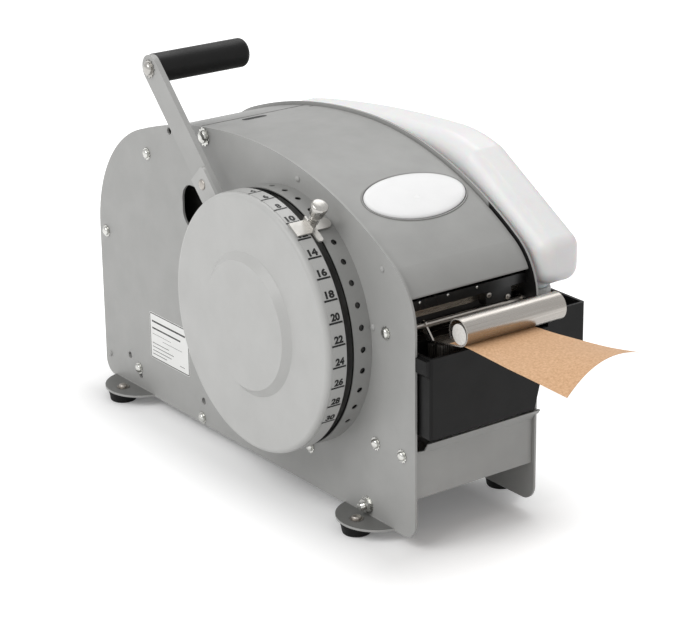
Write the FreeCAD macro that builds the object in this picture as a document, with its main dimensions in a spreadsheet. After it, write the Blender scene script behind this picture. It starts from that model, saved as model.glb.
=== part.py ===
import FreeCAD, Part
import math
import os

import Sketcher

# A manual gummed tape dispenser. X runs across it, the dial and lever at -X and the water bottle
# at +X. Y runs from the tape exit to the back, and Z up from the surface under the feet.

doc = FreeCAD.newDocument("tape_dispenser")
sheet = doc.addObject("Spreadsheet::Sheet", "sheet")
pieces = []


class Size(float):
    # A length, angle or share that also knows the sheet expression it comes from.
    def __new__(cls, value, text=None):
        size = super().__new__(cls, value)
        size.text = text or "(%.10g)" % value
        return size

    def __add__(self, other):
        return combine(self, other, "+", float(self) + float(other))

    def __radd__(self, other):
        return combine(other, self, "+", float(other) + float(self))

    def __sub__(self, other):
        return combine(self, other, "-", float(self) - float(other))

    def __rsub__(self, other):
        return combine(other, self, "-", float(other) - float(self))

    def __mul__(self, other):
        return combine(self, other, "*", float(self) * float(other))

    def __rmul__(self, other):
        return combine(other, self, "*", float(other) * float(self))

    def __truediv__(self, other):
        return combine(self, other, "/", float(self) / float(other))

    def __rtruediv__(self, other):
        return combine(other, self, "/", float(other) / float(self))

    def __neg__(self):
        return combine(0, self, "-", -float(self))


def textOf(value):
    return getattr(value, "text", None) or "(%.10g)" % value


def combine(left, right, sign, value):
    return Size(value, "(%s %s %s)" % (textOf(left), sign, textOf(right)))


def sine(angle):
    return Size(math.sin(math.radians(angle)), "sin(%s)" % textOf(angle))


def cosine(angle):
    return Size(math.cos(math.radians(angle)), "cos(%s)" % textOf(angle))


def root(value):
    return Size(math.sqrt(value), "sqrt(%s)" % textOf(value))


class Sizes:
    # Every named size, as an attribute.
    row = 0


d = Sizes()


def sizes(values):
    for name, value in values.items():
        Sizes.row += 1
        sheet.set("A%d" % Sizes.row, name)
        sheet.set("B%d" % Sizes.row, "%.10g" % value)
        sheet.setAlias("B%d" % Sizes.row, name)
        setattr(d, name, Size(value, "sheet." + name))


def bind(item, prop, value):
    if hasattr(value, "text"):
        item.setExpression(prop, value.text)
    else:
        raise ValueError("%s.%s has no named size" % (item.Name, prop))


def seat(item, x, y, z):
    # Puts an item at x, y, z of the machine; the frame's origin is under the middle of the machine.
    for axis, value in (("x", x), ("y", y - d.origin_depth), ("z", z)):
        if hasattr(value, "text"):
            item.setExpression("Placement.Base." + axis, value.text)


def keep(item, label):
    item.Label = label
    pieces.append(item)
    return item


# Sketches and the features made from them

PLANES = {"front": "XZ_Plane", "side": "YZ_Plane", "top": "XY_Plane"}


def newBody(label, x=None, y=None, z=None):
    body = doc.addObject("PartDesign::Body", label)
    seat(body, d.zero if x is None else x, d.zero if y is None else y, d.zero if z is None else z)
    return keep(body, label)


def newSketch(body, plane, offset):
    sketch = body.newObject("Sketcher::SketchObject", body.Name + "_sketch")
    for item in body.Origin.OriginFeatures:
        if item.Role == PLANES[plane]:
            sketch.AttachmentSupport = (item, [""])
    sketch.MapMode = "FlatFace"
    # The front plane's normal points to -Y, the others' to +X and +Z.
    bind(sketch, "AttachmentOffset.Base.z", -offset if plane == "front" else offset)
    return sketch


def circleLoop(u, v, radius):
    return ("circle", u, v, radius)


def arcCentre(start, end, radius, turn):
    du, dv = end[0] - start[0], end[1] - start[1]
    chord = math.hypot(du, dv)
    rise = math.sqrt(max(radius * radius - chord * chord / 4, 0))
    return (
        (start[0] + end[0]) / 2 - turn * dv / chord * rise,
        (start[1] + end[1]) / 2 + turn * du / chord * rise,
    )


def addLoop(sketch, loop):
    # A loop is a circle, or a list of points (u, v). A point (u, v, radius, turn) is reached by an
    # arc of under half a circle, anticlockwise where turn is 1 and clockwise where it is -1.
    up = FreeCAD.Vector(0, 0, 1)
    first = sketch.GeometryCount
    count = sketch.ConstraintCount
    rules = []
    bound = []
    if loop[0] == "circle":
        u, v, radius = loop[1:]
        sketch.addGeometry(Part.Circle(FreeCAD.Vector(u, v, 0), up, radius))
        rules.append(Sketcher.Constraint("Radius", first, float(radius)))
        bound.append(radius)
        placed = [(first, 3, u, v)]
    else:
        shapes = []
        ends = []
        for number, point in enumerate(loop):
            start = [float(value) for value in loop[number - 1][:2]]
            end = [float(value) for value in point[:2]]
            if len(point) == 2:
                shapes.append(Part.LineSegment(FreeCAD.Vector(*start, 0), FreeCAD.Vector(*end, 0)))
                ends.append((1, 2))
                continue
            middle = arcCentre(start, end, float(point[2]), point[3])
            angles = [math.atan2(p[1] - middle[1], p[0] - middle[0]) for p in (start, end)]
            if point[3] < 0:
                angles.reverse()
            if angles[1] < angles[0]:
                angles[1] += 2 * math.pi
            circle = Part.Circle(FreeCAD.Vector(*middle, 0), up, float(point[2]))
            shapes.append(Part.ArcOfCircle(circle, *angles))
            ends.append((1, 2) if point[3] > 0 else (2, 1))
            rules.append(Sketcher.Constraint("Radius", first + number, float(point[2])))
            bound.append(point[2])
        sketch.addGeometry(shapes)
        for number in range(len(loop)):
            previous = (number - 1) % len(loop)
            rules.append(
                Sketcher.Constraint(
                    "Coincident", first + previous, ends[previous][1], first + number, ends[number][0]
                )
            )
            bound.append(None)
        placed = [(first + n, ends[n][1], p[0], p[1]) for n, p in enumerate(loop)]
    for geometry, position, u, v in placed:
        rules.append(Sketcher.Constraint("DistanceX", geometry, position, float(u)))
        rules.append(Sketcher.Constraint("DistanceY", geometry, position, float(v)))
        bound += [u, v]
    sketch.addConstraint(rules)
    for number, value in enumerate(bound):
        if value is not None and hasattr(value, "text"):
            sketch.setExpression("Constraints[%d]" % (count + number), value.text)


def addPad(body, plane, start, length, loops):
    sketch = newSketch(body, plane, start + length if plane == "front" else start)
    for loop in loops:
        addLoop(sketch, loop)
    pad = body.newObject("PartDesign::Pad", body.Name + "_pad")
    pad.Profile = sketch
    bind(pad, "Length", length)
    return pad


def addPocket(body, plane, start, length, loops):
    # Cuts from start to start + length along the plane's positive axis.
    sketch = newSketch(body, plane, start if plane == "front" else start + length)
    for loop in loops:
        addLoop(sketch, loop)
    pocket = body.newObject("PartDesign::Pocket", body.Name + "_pocket")
    pocket.Profile = sketch
    bind(pocket, "Length", length)
    return pocket


def addTurning(body, loop):
    # Turns a half section (x, radius) about the body's X axis.
    sketch = newSketch(body, "top", d.zero)
    addLoop(sketch, loop)
    turning = body.newObject("PartDesign::Revolution", body.Name + "_turning")
    turning.Profile = sketch
    turning.ReferenceAxis = (sketch, ["H_Axis"])
    turning.Angle = 360
    return turning


def roundEdges(body, radius, chosen):
    doc.recompute()
    base = body.Tip
    names = []
    for number, edge in enumerate(base.Shape.Edges, 1):
        if chosen(edge):
            names.append("Edge%d" % number)
    if not names:
        raise ValueError(body.Name + " has no edge to round")
    fillet = body.newObject("PartDesign::Fillet", body.Name + "_fillet")
    fillet.Base = (base, names)
    bind(fillet, "Radius", radius)
    return fillet


def near(value, place):
    return abs(value - place) < d.edge_reach


def runsAlong(edge, axis):
    if edge.Curve.TypeId != "Part::GeomLine":
        return False
    return abs(edge.Curve.Direction[axis]) > d.parallel_share


# Primitives and booleans

ALONG_X = FreeCAD.Rotation(FreeCAD.Vector(0, 1, 0), 90)


def cylinder(name, x, y, z, radius, length, along="x"):
    item = doc.addObject("Part::Cylinder", name)
    if along == "x":
        item.Placement = FreeCAD.Placement(FreeCAD.Vector(), ALONG_X)
    bind(item, "Radius", radius)
    bind(item, "Height", length)
    seat(item, x, y, z)
    return item


def box(name, x, y, z, length, width, height):
    item = doc.addObject("Part::Box", name)
    bind(item, "Length", length)
    bind(item, "Width", width)
    bind(item, "Height", height)
    seat(item, x, y, z)
    return item


def fuse(name, items):
    item = doc.addObject("Part::MultiFuse", name)
    item.Shapes = items
    return item


def cut(name, base, tool):
    item = doc.addObject("Part::Cut", name)
    item.Base = base
    item.Tool = tool
    return item


def group(name, items):
    item = doc.addObject("Part::Compound", name)
    item.Links = items
    return item


# The machine's driving sizes: the two side plates and the gap between them

frame_sizes = {
    "zero": 0,
    "edge_reach": 0.05,
    "parallel_share": 0.999,
    "origin_depth": 159.5,
    "overrun": 1,
    "fit": 0.3,
    "running_fit": 0.05,
    "plate_thickness": 2,
    "plate_gap": 121.2,
    "roll_depth": 340,
    "roll_height": 151,
    "roll_radius": 108,
    "roll_back_gap": 23.5,
    "crown_lead": 119,
    "crown_rise": 33,
    "corner_gap": 6,
    "corner_rise": 3.36,
    "feed_height": 166,
    "nose_rise": 20.27,
    "plate_foot": 9.5,
    "nose_radius": 56.5,
    "bottom_corner_radius": 14,
}
sizes(frame_sizes)

inner = d.plate_gap / 2
outer = inner + d.plate_thickness
# The plates' outline follows the roll at the back and the feed wheel at the nose
plateDepth = d.roll_depth + d.roll_radius + d.roll_back_gap
plateTop = d.roll_height + d.roll_radius + d.crown_rise
crownPlace = d.roll_depth - d.crown_lead
noseCentre = d.feed_height + d.nose_rise
rearCornerRadius = d.roll_radius + d.corner_gap
cornerPlace = plateDepth - rearCornerRadius
cornerCentre = d.roll_height + d.corner_rise


def arcRadius(away, drop, radius):
    # The radius of an arc with its top above one place that runs into a smaller arc away from it.
    return (away * away + drop * drop - radius * radius) / (2 * (drop - radius))


crownRadius = arcRadius(crownPlace - d.nose_radius, plateTop - noseCentre, d.nose_radius)
crownCentre = plateTop - crownRadius
noseReach = crownRadius - d.nose_radius
rearCrownRadius = arcRadius(cornerPlace - crownPlace, plateTop - cornerCentre, rearCornerRadius)
rearCentre = plateTop - rearCrownRadius
cornerReach = rearCrownRadius - rearCornerRadius


def crownHeight(depth, inset):
    # The height of the plates' top outline, set in by inset, at a depth from the front.
    if depth < crownPlace:
        radius, centre = crownRadius - inset, crownCentre
    else:
        radius, centre = rearCrownRadius - inset, rearCentre
    return centre + root(radius * radius - (depth - crownPlace) * (depth - crownPlace))


def noseEnd(inset):
    # Where the nose arc meets the crown arc.
    share = (crownRadius - inset) / noseReach
    return (
        crownPlace + (d.nose_radius - crownPlace) * share,
        crownCentre + (noseCentre - crownCentre) * share,
    )


def cornerStart(inset):
    # Where the rear crown arc meets the rear corner arc.
    share = (rearCrownRadius - inset) / cornerReach
    return (
        crownPlace + (cornerPlace - crownPlace) * share,
        rearCentre + (cornerCentre - rearCentre) * share,
    )


def plateOutline():
    corner = d.bottom_corner_radius
    return [
        (corner, d.plate_foot, corner, 1),
        (plateDepth - corner, d.plate_foot),
        (plateDepth, d.plate_foot + corner, corner, 1),
        (plateDepth, cornerCentre),
        (*cornerStart(d.zero), rearCornerRadius, 1),
        (crownPlace, plateTop, rearCrownRadius, 1),
        (*noseEnd(d.zero), crownRadius, 1),
        (d.zero, noseCentre, d.nose_radius, 1),
        (d.zero, d.plate_foot + corner),
    ]


# Side plates: each is one sheet with two half-round foot flanges bent outwards

side_plate_sizes = {
    "flange_length": 66,
    "flange_reach": 27,
    "front_flange_place": 60,
    "rear_flange_inset": 50.5,
    "foot_hole_radius": 2.6,
    "foot_hole_reach": 13.5,
    "dial_depth": 164.4,
    "dial_height": 156.2,
    "bush_radius": 11,
    "feed_depth": 55,
    "feed_bush_radius": 8,
    "window_front": 266,
    "window_back": 328,
    "window_bottom": 190,
    "window_top": 230,
    "window_corner": 15,
    "vent_radius": 3.2,
}
sizes(side_plate_sizes)

rearFlangePlace = plateDepth - d.rear_flange_inset


def addFlange(body, side, place):
    half = d.flange_length / 2
    radius = (half * half + d.flange_reach * d.flange_reach) / (2 * d.flange_reach)
    tip = side * (outer + d.flange_reach)
    root_x = side * inner
    edge = side * outer
    hole = circleLoop(side * (outer + d.foot_hole_reach), place, d.foot_hole_radius)
    outline = [
        (root_x, place - half),
        (edge, place - half),
        (tip, place, radius, side),
        (edge, place + half, radius, side),
        (root_x, place + half),
    ]
    if side < 0:
        outline = [(root_x, place + half), (edge, place + half), (tip, place, radius, 1)]
        outline += [(edge, place - half, radius, 1), (root_x, place - half)]
    addPad(body, "top", d.plate_foot, d.plate_thickness, [outline, hole])


def makeSidePlate(label, side):
    body = newBody(label)
    start = inner if side > 0 else -outer
    addPad(body, "side", start, d.plate_thickness, [plateOutline()])
    addFlange(body, side, d.front_flange_place)
    addFlange(body, side, rearFlangePlace)
    holes = [circleLoop(d.feed_depth, d.feed_height, d.feed_bush_radius + d.running_fit)]
    if side < 0:
        holes = [circleLoop(d.dial_depth, d.dial_height, d.bush_radius + d.running_fit)]
        corner = d.window_corner
        holes.append([
            (d.window_front, d.window_bottom),
            (d.window_back - corner, d.window_bottom),
            (d.window_back, d.window_bottom + corner, corner, 1),
            (d.window_back, d.window_top - corner),
            (d.window_back - corner, d.window_top, corner, 1),
            (d.window_front, d.window_top),
        ])
        for depth_share, height_share in VENT_SHARES:
            holes.append(circleLoop(
                plateDepth * depth_share,
                d.plate_foot + (plateTop - d.plate_foot) * height_share,
                d.vent_radius,
            ))
    addPocket(body, "side", start - d.overrun, d.plate_thickness + 2 * d.overrun, holes)
    return body


# Round holes of the left plate, as shares of its depth and height
VENT_SHARES = ((0.733, 0.927), (0.908, 0.101), (0.871, 0.05), (0.646, 0.079))

makeSidePlate("left_side_plate", -1)
makeSidePlate("right_side_plate", 1)

# Front panel: a sheet between the plates whose lip leans out over their front edges

front_panel_sizes = {
    "sheet_thickness": 1.5,
    "panel_setback": 3,
    "panel_bottom": 44.5,
    "panel_crease": 83,
    "panel_top": 92,
    "lip_lean": 6,
    "lip_hook": 3.7,
    "notch_width": 9,
    "notch_depth": 7,
    "panel_side_depth": 62,
}
sizes(front_panel_sizes)


def makeFrontPanel():
    body = newBody("front_panel")
    half = inner - d.fit
    skin = d.sheet_thickness
    front = d.panel_setback
    addPad(body, "side", -half, 2 * half, [[
        (front, d.panel_bottom),
        (front + skin, d.panel_bottom),
        (front + skin, d.panel_crease),
        (front + skin - d.lip_lean, d.panel_top),
        (front - d.lip_lean, d.panel_top),
        (front, d.panel_crease),
    ]])
    for start in (-half, half - skin):
        addPad(body, "side", start, skin, [[
            (front, d.panel_bottom),
            (d.panel_side_depth, d.panel_bottom),
            (d.panel_side_depth, d.panel_crease),
            (front, d.panel_crease),
        ]])
    addPocket(body, "front", front - d.lip_lean - d.overrun, d.lip_lean + skin + d.overrun, [[
        (-half - d.overrun, d.panel_top + d.overrun),
        (-half - d.overrun, d.panel_crease + d.notch_depth / 2),
        (-half + d.notch_width, d.panel_top - d.notch_depth),
        (-half + d.notch_width, d.panel_top + d.overrun),
    ]])
    # The lip's right end reaches in front of the right plate
    share = (front + d.fit) / d.lip_lean
    addPad(body, "side", half - skin, skin + d.lip_hook, [[
        (front - d.lip_lean, d.panel_top),
        (-d.fit, d.panel_crease + (d.panel_top - d.panel_crease) * share),
        (-d.fit, d.panel_top),
    ]])


makeFrontPanel()

# Tank shelf, base pan and rear panel: sheets between the plates, with side flanges for their screws

pan_sizes = {
    "shelf_drop": 67,
    "shelf_front": 8,
    "shelf_back": 44,
    "shelf_flange": 10,
    "pan_height": 12,
    "pan_front": 104,
    "pan_inset": 31.5,
    "pan_flange": 40,
    "rear_panel_inset": 6.5,
    "rear_panel_bottom": 36,
    "rear_panel_top": 140,
    "rear_panel_flange": 14,
}
sizes(pan_sizes)

shelfHeight = d.feed_height - d.shelf_drop
panBack = plateDepth - d.pan_inset
rearPanelPlace = plateDepth - d.rear_panel_inset


def addSidePanels(body, front, back, bottom, top):
    half = inner - d.fit
    for start in (-half, half - d.sheet_thickness):
        addPad(body, "side", start, d.sheet_thickness, [[
            (front, bottom),
            (back, bottom),
            (back, top),
            (front, top),
        ]])


def makePan(label, front, back, height, bottom, top):
    body = newBody(label)
    half = inner - d.fit
    addPad(body, "top", height, d.sheet_thickness, [[
        (-half, front),
        (half, front),
        (half, back),
        (-half, back),
    ]])
    addSidePanels(body, front, back, bottom, top)


makePan(
    "tank_shelf",
    d.shelf_front,
    d.shelf_back,
    shelfHeight,
    shelfHeight - d.shelf_flange,
    shelfHeight + d.sheet_thickness,
)
makePan(
    "base_pan",
    d.pan_front,
    panBack,
    d.pan_height,
    d.pan_height,
    d.pan_height + d.pan_flange,
)


def makeRearPanel():
    body = newBody("rear_panel")
    half = inner - d.fit
    addPad(body, "front", rearPanelPlace, d.sheet_thickness, [[
        (-half, d.rear_panel_bottom),
        (half, d.rear_panel_bottom),
        (half, d.rear_panel_top),
        (-half, d.rear_panel_top),
    ]])
    back = rearPanelPlace + d.sheet_thickness
    front = rearPanelPlace - d.rear_panel_flange
    addSidePanels(body, front, back, d.rear_panel_bottom, d.rear_panel_top)


makeRearPanel()

# Covers: sheets that follow the plates' outline, set in by a little, on hinge rods across the machine

cover_sizes = {
    "cover_inset": 3,
    "cover_thickness": 1.2,
    "cover_side_gap": 1.2,
    "cover_front_rise": 46,
    "cover_return": 9,
    "cover_back": 313,
    "rod_radius": 4,
    "knuckle_radius": 5.4,
    "cover_hinge_depth": 289.6,
    "cover_slot_left": -14.6,
    "cover_slot_length": 22,
    "cover_slot_front": 296.5,
    "cover_slot_width": 3,
    "cover_notch_depth": 3.8,
    "rear_cover_front": 316,
    "rear_cover_return": 8,
    "rear_hinge_inset": 11.5,
    "rear_hinge_height": 151,
}
sizes(cover_sizes)

coverFrontHeight = d.feed_height + d.cover_front_rise
rearHingeDepth = plateDepth - d.rear_hinge_inset
coverHinge = crownHeight(d.cover_hinge_depth, d.cover_inset) - d.knuckle_radius


def noseDepth(height, inset):
    # The depth of the nose arc, set in by inset, at a height.
    radius = d.nose_radius - inset
    rise = height - noseCentre
    return d.nose_radius - root(radius * radius - rise * rise)


def addKnuckle(body, depth, height):
    half = inner - d.cover_side_gap
    addPad(body, "side", -half, 2 * half, [circleLoop(depth, height, d.knuckle_radius)])
    addPocket(body, "side", -half - d.overrun, 2 * (half + d.overrun), [
        circleLoop(depth, height, d.rod_radius + d.running_fit),
    ])


def makeTopCover():
    body = newBody("top_cover")
    half = inner - d.cover_side_gap
    high = d.cover_inset
    low = d.cover_inset + d.cover_thickness
    front = coverFrontHeight
    back = d.cover_back
    tail = crownHeight(back, low) - d.cover_return
    addPad(body, "side", -half, 2 * half, [[
        (noseDepth(front, low) + d.cover_return, front),
        (noseDepth(front, low) + d.cover_return, front - d.cover_thickness),
        (noseDepth(front, high), front - d.cover_thickness),
        (noseDepth(front, high), front),
        (*noseEnd(high), d.nose_radius - high, -1),
        (crownPlace, plateTop - high, crownRadius - high, -1),
        (back, crownHeight(back, high), rearCrownRadius - high, -1),
        (back, tail),
        (back - d.cover_thickness, tail),
        (back - d.cover_thickness, crownHeight(back - d.cover_thickness, low)),
        (crownPlace, plateTop - low, rearCrownRadius - low, 1),
        (*noseEnd(low), crownRadius - low, 1),
        (noseDepth(front, low), front, d.nose_radius - low, 1),
    ]])
    addKnuckle(body, d.cover_hinge_depth, coverHinge)
    slot_front = d.cover_slot_front
    slot_back = slot_front + d.cover_slot_width
    slot_right = d.cover_slot_left + d.cover_slot_length
    addPocket(body, "top", tail, plateTop - tail, [
        [
            (d.cover_slot_left, slot_front),
            (slot_right, slot_front),
            (slot_right, slot_back),
            (d.cover_slot_left, slot_back),
        ],
        [
            (half - d.cover_notch_depth, slot_front + d.cover_slot_width),
            (half + d.overrun, slot_front + d.cover_slot_width),
            (half + d.overrun, slot_back + d.cover_slot_width),
            (half - d.cover_notch_depth, slot_back + d.cover_slot_width),
        ],
    ])


makeTopCover()


def makeRearCover():
    body = newBody("rear_cover")
    half = inner - d.cover_side_gap
    high = d.cover_inset
    low = d.cover_inset + d.cover_thickness
    front = d.rear_cover_front
    wall = plateDepth - high
    tail = crownHeight(front, low) - d.rear_cover_return
    addPad(body, "side", -half, 2 * half, [[
        (front, tail),
        (front + d.cover_thickness, tail),
        (front + d.cover_thickness, crownHeight(front + d.cover_thickness, low)),
        (*cornerStart(low), rearCrownRadius - low, -1),
        (plateDepth - low, cornerCentre, rearCornerRadius - low, -1),
        (plateDepth - low, d.rear_hinge_height),
        (wall, d.rear_hinge_height),
        (wall, cornerCentre),
        (*cornerStart(high), rearCornerRadius - high, 1),
        (front, crownHeight(front, high), rearCrownRadius - high, 1),
    ]])
    web = d.knuckle_radius / 2
    addPad(body, "side", -half, 2 * half, [[
        (rearHingeDepth, d.rear_hinge_height),
        (wall, d.rear_hinge_height),
        (wall, d.rear_hinge_height + web),
        (rearHingeDepth, d.rear_hinge_height + web),
    ]])
    addKnuckle(body, rearHingeDepth, d.rear_hinge_height)


makeRearCover()


def rodAt(depth, height, radius):
    # A rod across the machine from plate to plate.
    return cylinder("rod", -inner + d.fit, depth, height, radius, d.plate_gap - 2 * d.fit)


hingeRods = [
    rodAt(d.cover_hinge_depth, coverHinge, d.rod_radius),
    rodAt(rearHingeDepth, d.rear_hinge_height, d.rod_radius),
]
keep(group("rods_of_hinges", hingeRods), "hinge_rods")

# Length dial: a perforated stop ring on the plate and a cap held off it by spacers, which leaves
# the slot that the lever runs in

dial_sizes = {
    "dial_radius": 109.2,
    "dial_wall": 2.5,
    "ring_width": 17.3,
    "slot_width": 7.4,
    "cap_width": 18.8,
    "cap_edge_radius": 4,
    "emboss_share": 0.56,
    "emboss_top_share": 0.5,
    "emboss_rise": 5.5,
    "hole_turn_angle": 9.54,
    "hole_first_angle": 96.7,
    "hole_radius": 2.6,
    "hole_place_share": 0.5,
    "hole_count": 15,
    "band_thickness": 0.4,
    "band_width": 12.7,
    "band_gap": 0.7,
    "spacer_radius": 7,
    "spacer_inset": 25.2,
    "spacer_first_angle": 190,
    "spacer_turn_angle": 45,
}
sizes(dial_sizes)

spacerReach = d.dial_radius - d.spacer_inset
ringFace = -outer - d.ring_width
capBack = ringFace - d.slot_width
capFace = capBack - d.cap_width


def makeStopRing():
    body = newBody("stop_ring", d.zero, d.dial_depth, d.dial_height)
    hub = d.dial_radius - d.dial_wall
    addPad(body, "side", ringFace, d.ring_width, [
        circleLoop(d.zero, d.zero, d.dial_radius),
        circleLoop(d.zero, d.zero, hub),
    ])
    sketch = newSketch(body, "top", d.zero)
    addLoop(sketch, circleLoop(ringFace + d.ring_width * d.hole_place_share, d.zero, d.hole_radius))
    sketch.AttachmentOffset = FreeCAD.Placement(
        FreeCAD.Vector(), FreeCAD.Rotation(FreeCAD.Vector(1, 0, 0), float(90 - d.hole_first_angle))
    )
    bind(sketch, "AttachmentOffset.Rotation.Angle", d.hole_first_angle - 90)
    sketch.setExpression("AttachmentOffset.Rotation.Axis.x", "-1")
    pocket = body.newObject("PartDesign::Pocket", "stop_hole")
    pocket.Profile = sketch
    pocket.Reversed = True
    bind(pocket, "Length", d.dial_radius + d.overrun)
    doc.recompute()
    pattern = body.newObject("PartDesign::PolarPattern", "stop_holes")
    pattern.Originals = [pocket]
    for item in body.Origin.OriginFeatures:
        if item.Role == "X_Axis":
            pattern.Axis = (item, [""])
    bind(pattern, "Angle", d.hole_turn_angle * (d.hole_count - 1))
    bind(pattern, "Occurrences", d.hole_count)
    body.Tip = pattern


makeStopRing()


def makeDialCap():
    body = newBody("dial_cap", d.zero, d.dial_depth, d.dial_height)
    radius = d.dial_radius
    wall = d.dial_wall
    curve = d.cap_edge_radius
    top = radius * d.emboss_top_share
    foot = radius * d.emboss_share
    addTurning(body, [
        (capFace - d.emboss_rise, d.zero),
        (capFace - d.emboss_rise, top),
        (capFace, foot),
        (capFace, radius - curve),
        (capFace + curve, radius, curve, -1),
        (capBack, radius),
        (capBack, radius - wall),
        (capFace + wall, radius - wall),
        (capFace + wall, foot - wall),
        (capFace + wall - d.emboss_rise, top - wall),
        (capFace + wall - d.emboss_rise, d.zero),
    ])


makeDialCap()


def makeScaleBand():
    body = newBody("scale_band", d.zero, d.dial_depth, d.dial_height)
    inside = d.dial_radius + d.running_fit
    addPad(body, "side", capBack - d.band_gap - d.band_width, d.band_width, [
        circleLoop(d.zero, d.zero, inside + d.band_thickness),
        circleLoop(d.zero, d.zero, inside),
    ])


makeScaleBand()


def dialPoint(reach, angle):
    # A place about the dial's axis; the angle is counted from the front, upwards.
    return d.dial_depth - reach * cosine(angle), d.dial_height + reach * sine(angle)


def makeCapSpacers():
    posts = []
    for number in range(3):
        depth, height = dialPoint(spacerReach, d.spacer_first_angle + d.spacer_turn_angle * number)
        length = -outer - capFace - d.dial_wall
        posts.append(cylinder("spacer", capFace + d.dial_wall, depth, height, d.spacer_radius, length))
    keep(group("spacers", posts), "cap_spacers")


makeCapSpacers()

# Stop clip: a bright clip on the rim, with a lug in the slot and a pin that drops into a stop hole

clip_sizes = {
    "clip_hole_number": 4,
    "clip_width": 14,
    "clip_thickness": 1.5,
    "clip_side_gap": 0.3,
    "clip_ridge_rise": 6,
    "lug_width": 12,
    "lug_depth": 11,
    "lug_thickness": 5.6,
    "tongue_length": 15,
    "tongue_width": 11,
    "arm_length": 10,
    "thumb_radius": 2.5,
    "thumb_length": 17,
    "thumb_head_radius": 7.4,
    "thumb_head_length": 9,
}
sizes(clip_sizes)

clipInside = d.dial_radius + d.band_thickness + 2 * d.running_fit + d.clip_side_gap
clipAngle = d.hole_first_angle - d.clip_hole_number * d.hole_turn_angle
clipDepth, clipHeight = dialPoint(clipInside, clipAngle)
slotMiddle = capBack + d.slot_width / 2


def makeStopClip():
    # Made with its foot at the origin and Z outwards, then turned to its place on the rim.
    body = newBody("stop_clip", d.zero, clipDepth, clipHeight)
    body.Placement = FreeCAD.Placement(
        body.Placement.Base, FreeCAD.Rotation(FreeCAD.Vector(1, 0, 0), 90 - float(clipAngle))
    )
    bind(body, "Placement.Rotation.Angle", 90 - clipAngle)
    half = d.clip_width / 2
    lug = d.lug_width / 2
    start = capBack - d.band_gap - d.band_width
    addPad(body, "top", d.zero, d.clip_thickness, [[
        (start, -half),
        (slotMiddle + d.lug_thickness / 2, -half),
        (slotMiddle + d.lug_thickness / 2, half),
        (start, half),
    ]])
    addPad(body, "side", slotMiddle - d.lug_thickness / 2, d.lug_thickness, [[
        (-lug, -d.lug_depth),
        (lug, -d.lug_depth),
        (lug, d.clip_thickness),
        (-lug, d.clip_thickness),
    ]])
    tongue = d.tongue_width / 2
    end = ringFace + d.tongue_length - tongue
    addPad(body, "top", d.zero, d.clip_thickness, [[
        (slotMiddle, -tongue),
        (end, -tongue),
        (end + tongue, d.zero, tongue, 1),
        (end, tongue, tongue, 1),
        (slotMiddle, tongue),
    ]])
    addPad(body, "front", -half, d.clip_width, [[
        (capBack, d.zero),
        (capBack + d.clip_thickness, d.zero),
        (capBack + d.clip_thickness, d.clip_ridge_rise),
        (capBack, d.clip_ridge_rise),
    ]])
    thin = d.lug_thickness / 2
    addPad(body, "top", d.zero, d.clip_thickness, [[
        (slotMiddle - thin, -half),
        (slotMiddle - thin, -half - d.arm_length + thin),
        (slotMiddle + thin, -half - d.arm_length + thin, thin, 1),
        (slotMiddle + thin, -half),
    ]])


makeStopClip()


def makeThumbScrew():
    place = capBack + d.clip_thickness + d.fit + d.thumb_radius
    body = newBody("thumb_screw", place, clipDepth, clipHeight)
    body.Placement = FreeCAD.Placement(
        body.Placement.Base, FreeCAD.Rotation(FreeCAD.Vector(1, 0, 0), 90 - float(clipAngle))
    )
    bind(body, "Placement.Rotation.Angle", 90 - clipAngle)
    start = d.clip_thickness
    addPad(body, "top", start, d.thumb_length, [circleLoop(d.zero, d.zero, d.thumb_radius)])
    addPad(body, "top", start + d.thumb_length, d.thumb_head_length, [
        circleLoop(d.zero, d.zero, d.thumb_head_radius),
    ])


makeThumbScrew()

# Lever: a flat bar on a shaft at the dial's axis, with a doubler riveted on and a round grip

lever_sizes = {
    "lever_angle": 45.7,
    "lever_reach": 245.8,
    "lever_width": 23.5,
    "lever_offset": 1.2,
    "lever_thickness": 5,
    "lever_hub_radius": 20,
    "shaft_radius": 7,
    "shaft_end": 44,
    "bush_flange_radius": 16,
    "bush_flange": 3,
    "doubler_gap": 2.8,
    "doubler_length": 30,
    "doubler_corner": 4.5,
    "doubler_thickness": 3,
    "rivet_place": 18,
    "rivet_radius": 4.6,
    "rivet_rise": 1.6,
    "grip_radius": 12.8,
    "grip_length": 92,
    "grip_round": 5,
    "grip_bore": 4,
    "grip_screw_radius": 7,
    "grip_screw_rise": 3.5,
}
sizes(lever_sizes)

doublerStart = d.dial_radius + d.doubler_gap
doublerEnd = doublerStart + d.doubler_length
rivetReach = doublerStart + d.rivet_place
leverBack = slotMiddle + d.lever_thickness / 2
leverFace = slotMiddle - d.lever_thickness / 2


def leverBody(label):
    # Made along +Y from the dial's axis, then turned up to the lever's rest angle.
    body = newBody(label, d.zero, d.dial_depth, d.dial_height)
    body.Placement = FreeCAD.Placement(
        body.Placement.Base, FreeCAD.Rotation(FreeCAD.Vector(1, 0, 0), float(d.lever_angle))
    )
    bind(body, "Placement.Rotation.Angle", d.lever_angle)
    return body


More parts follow.
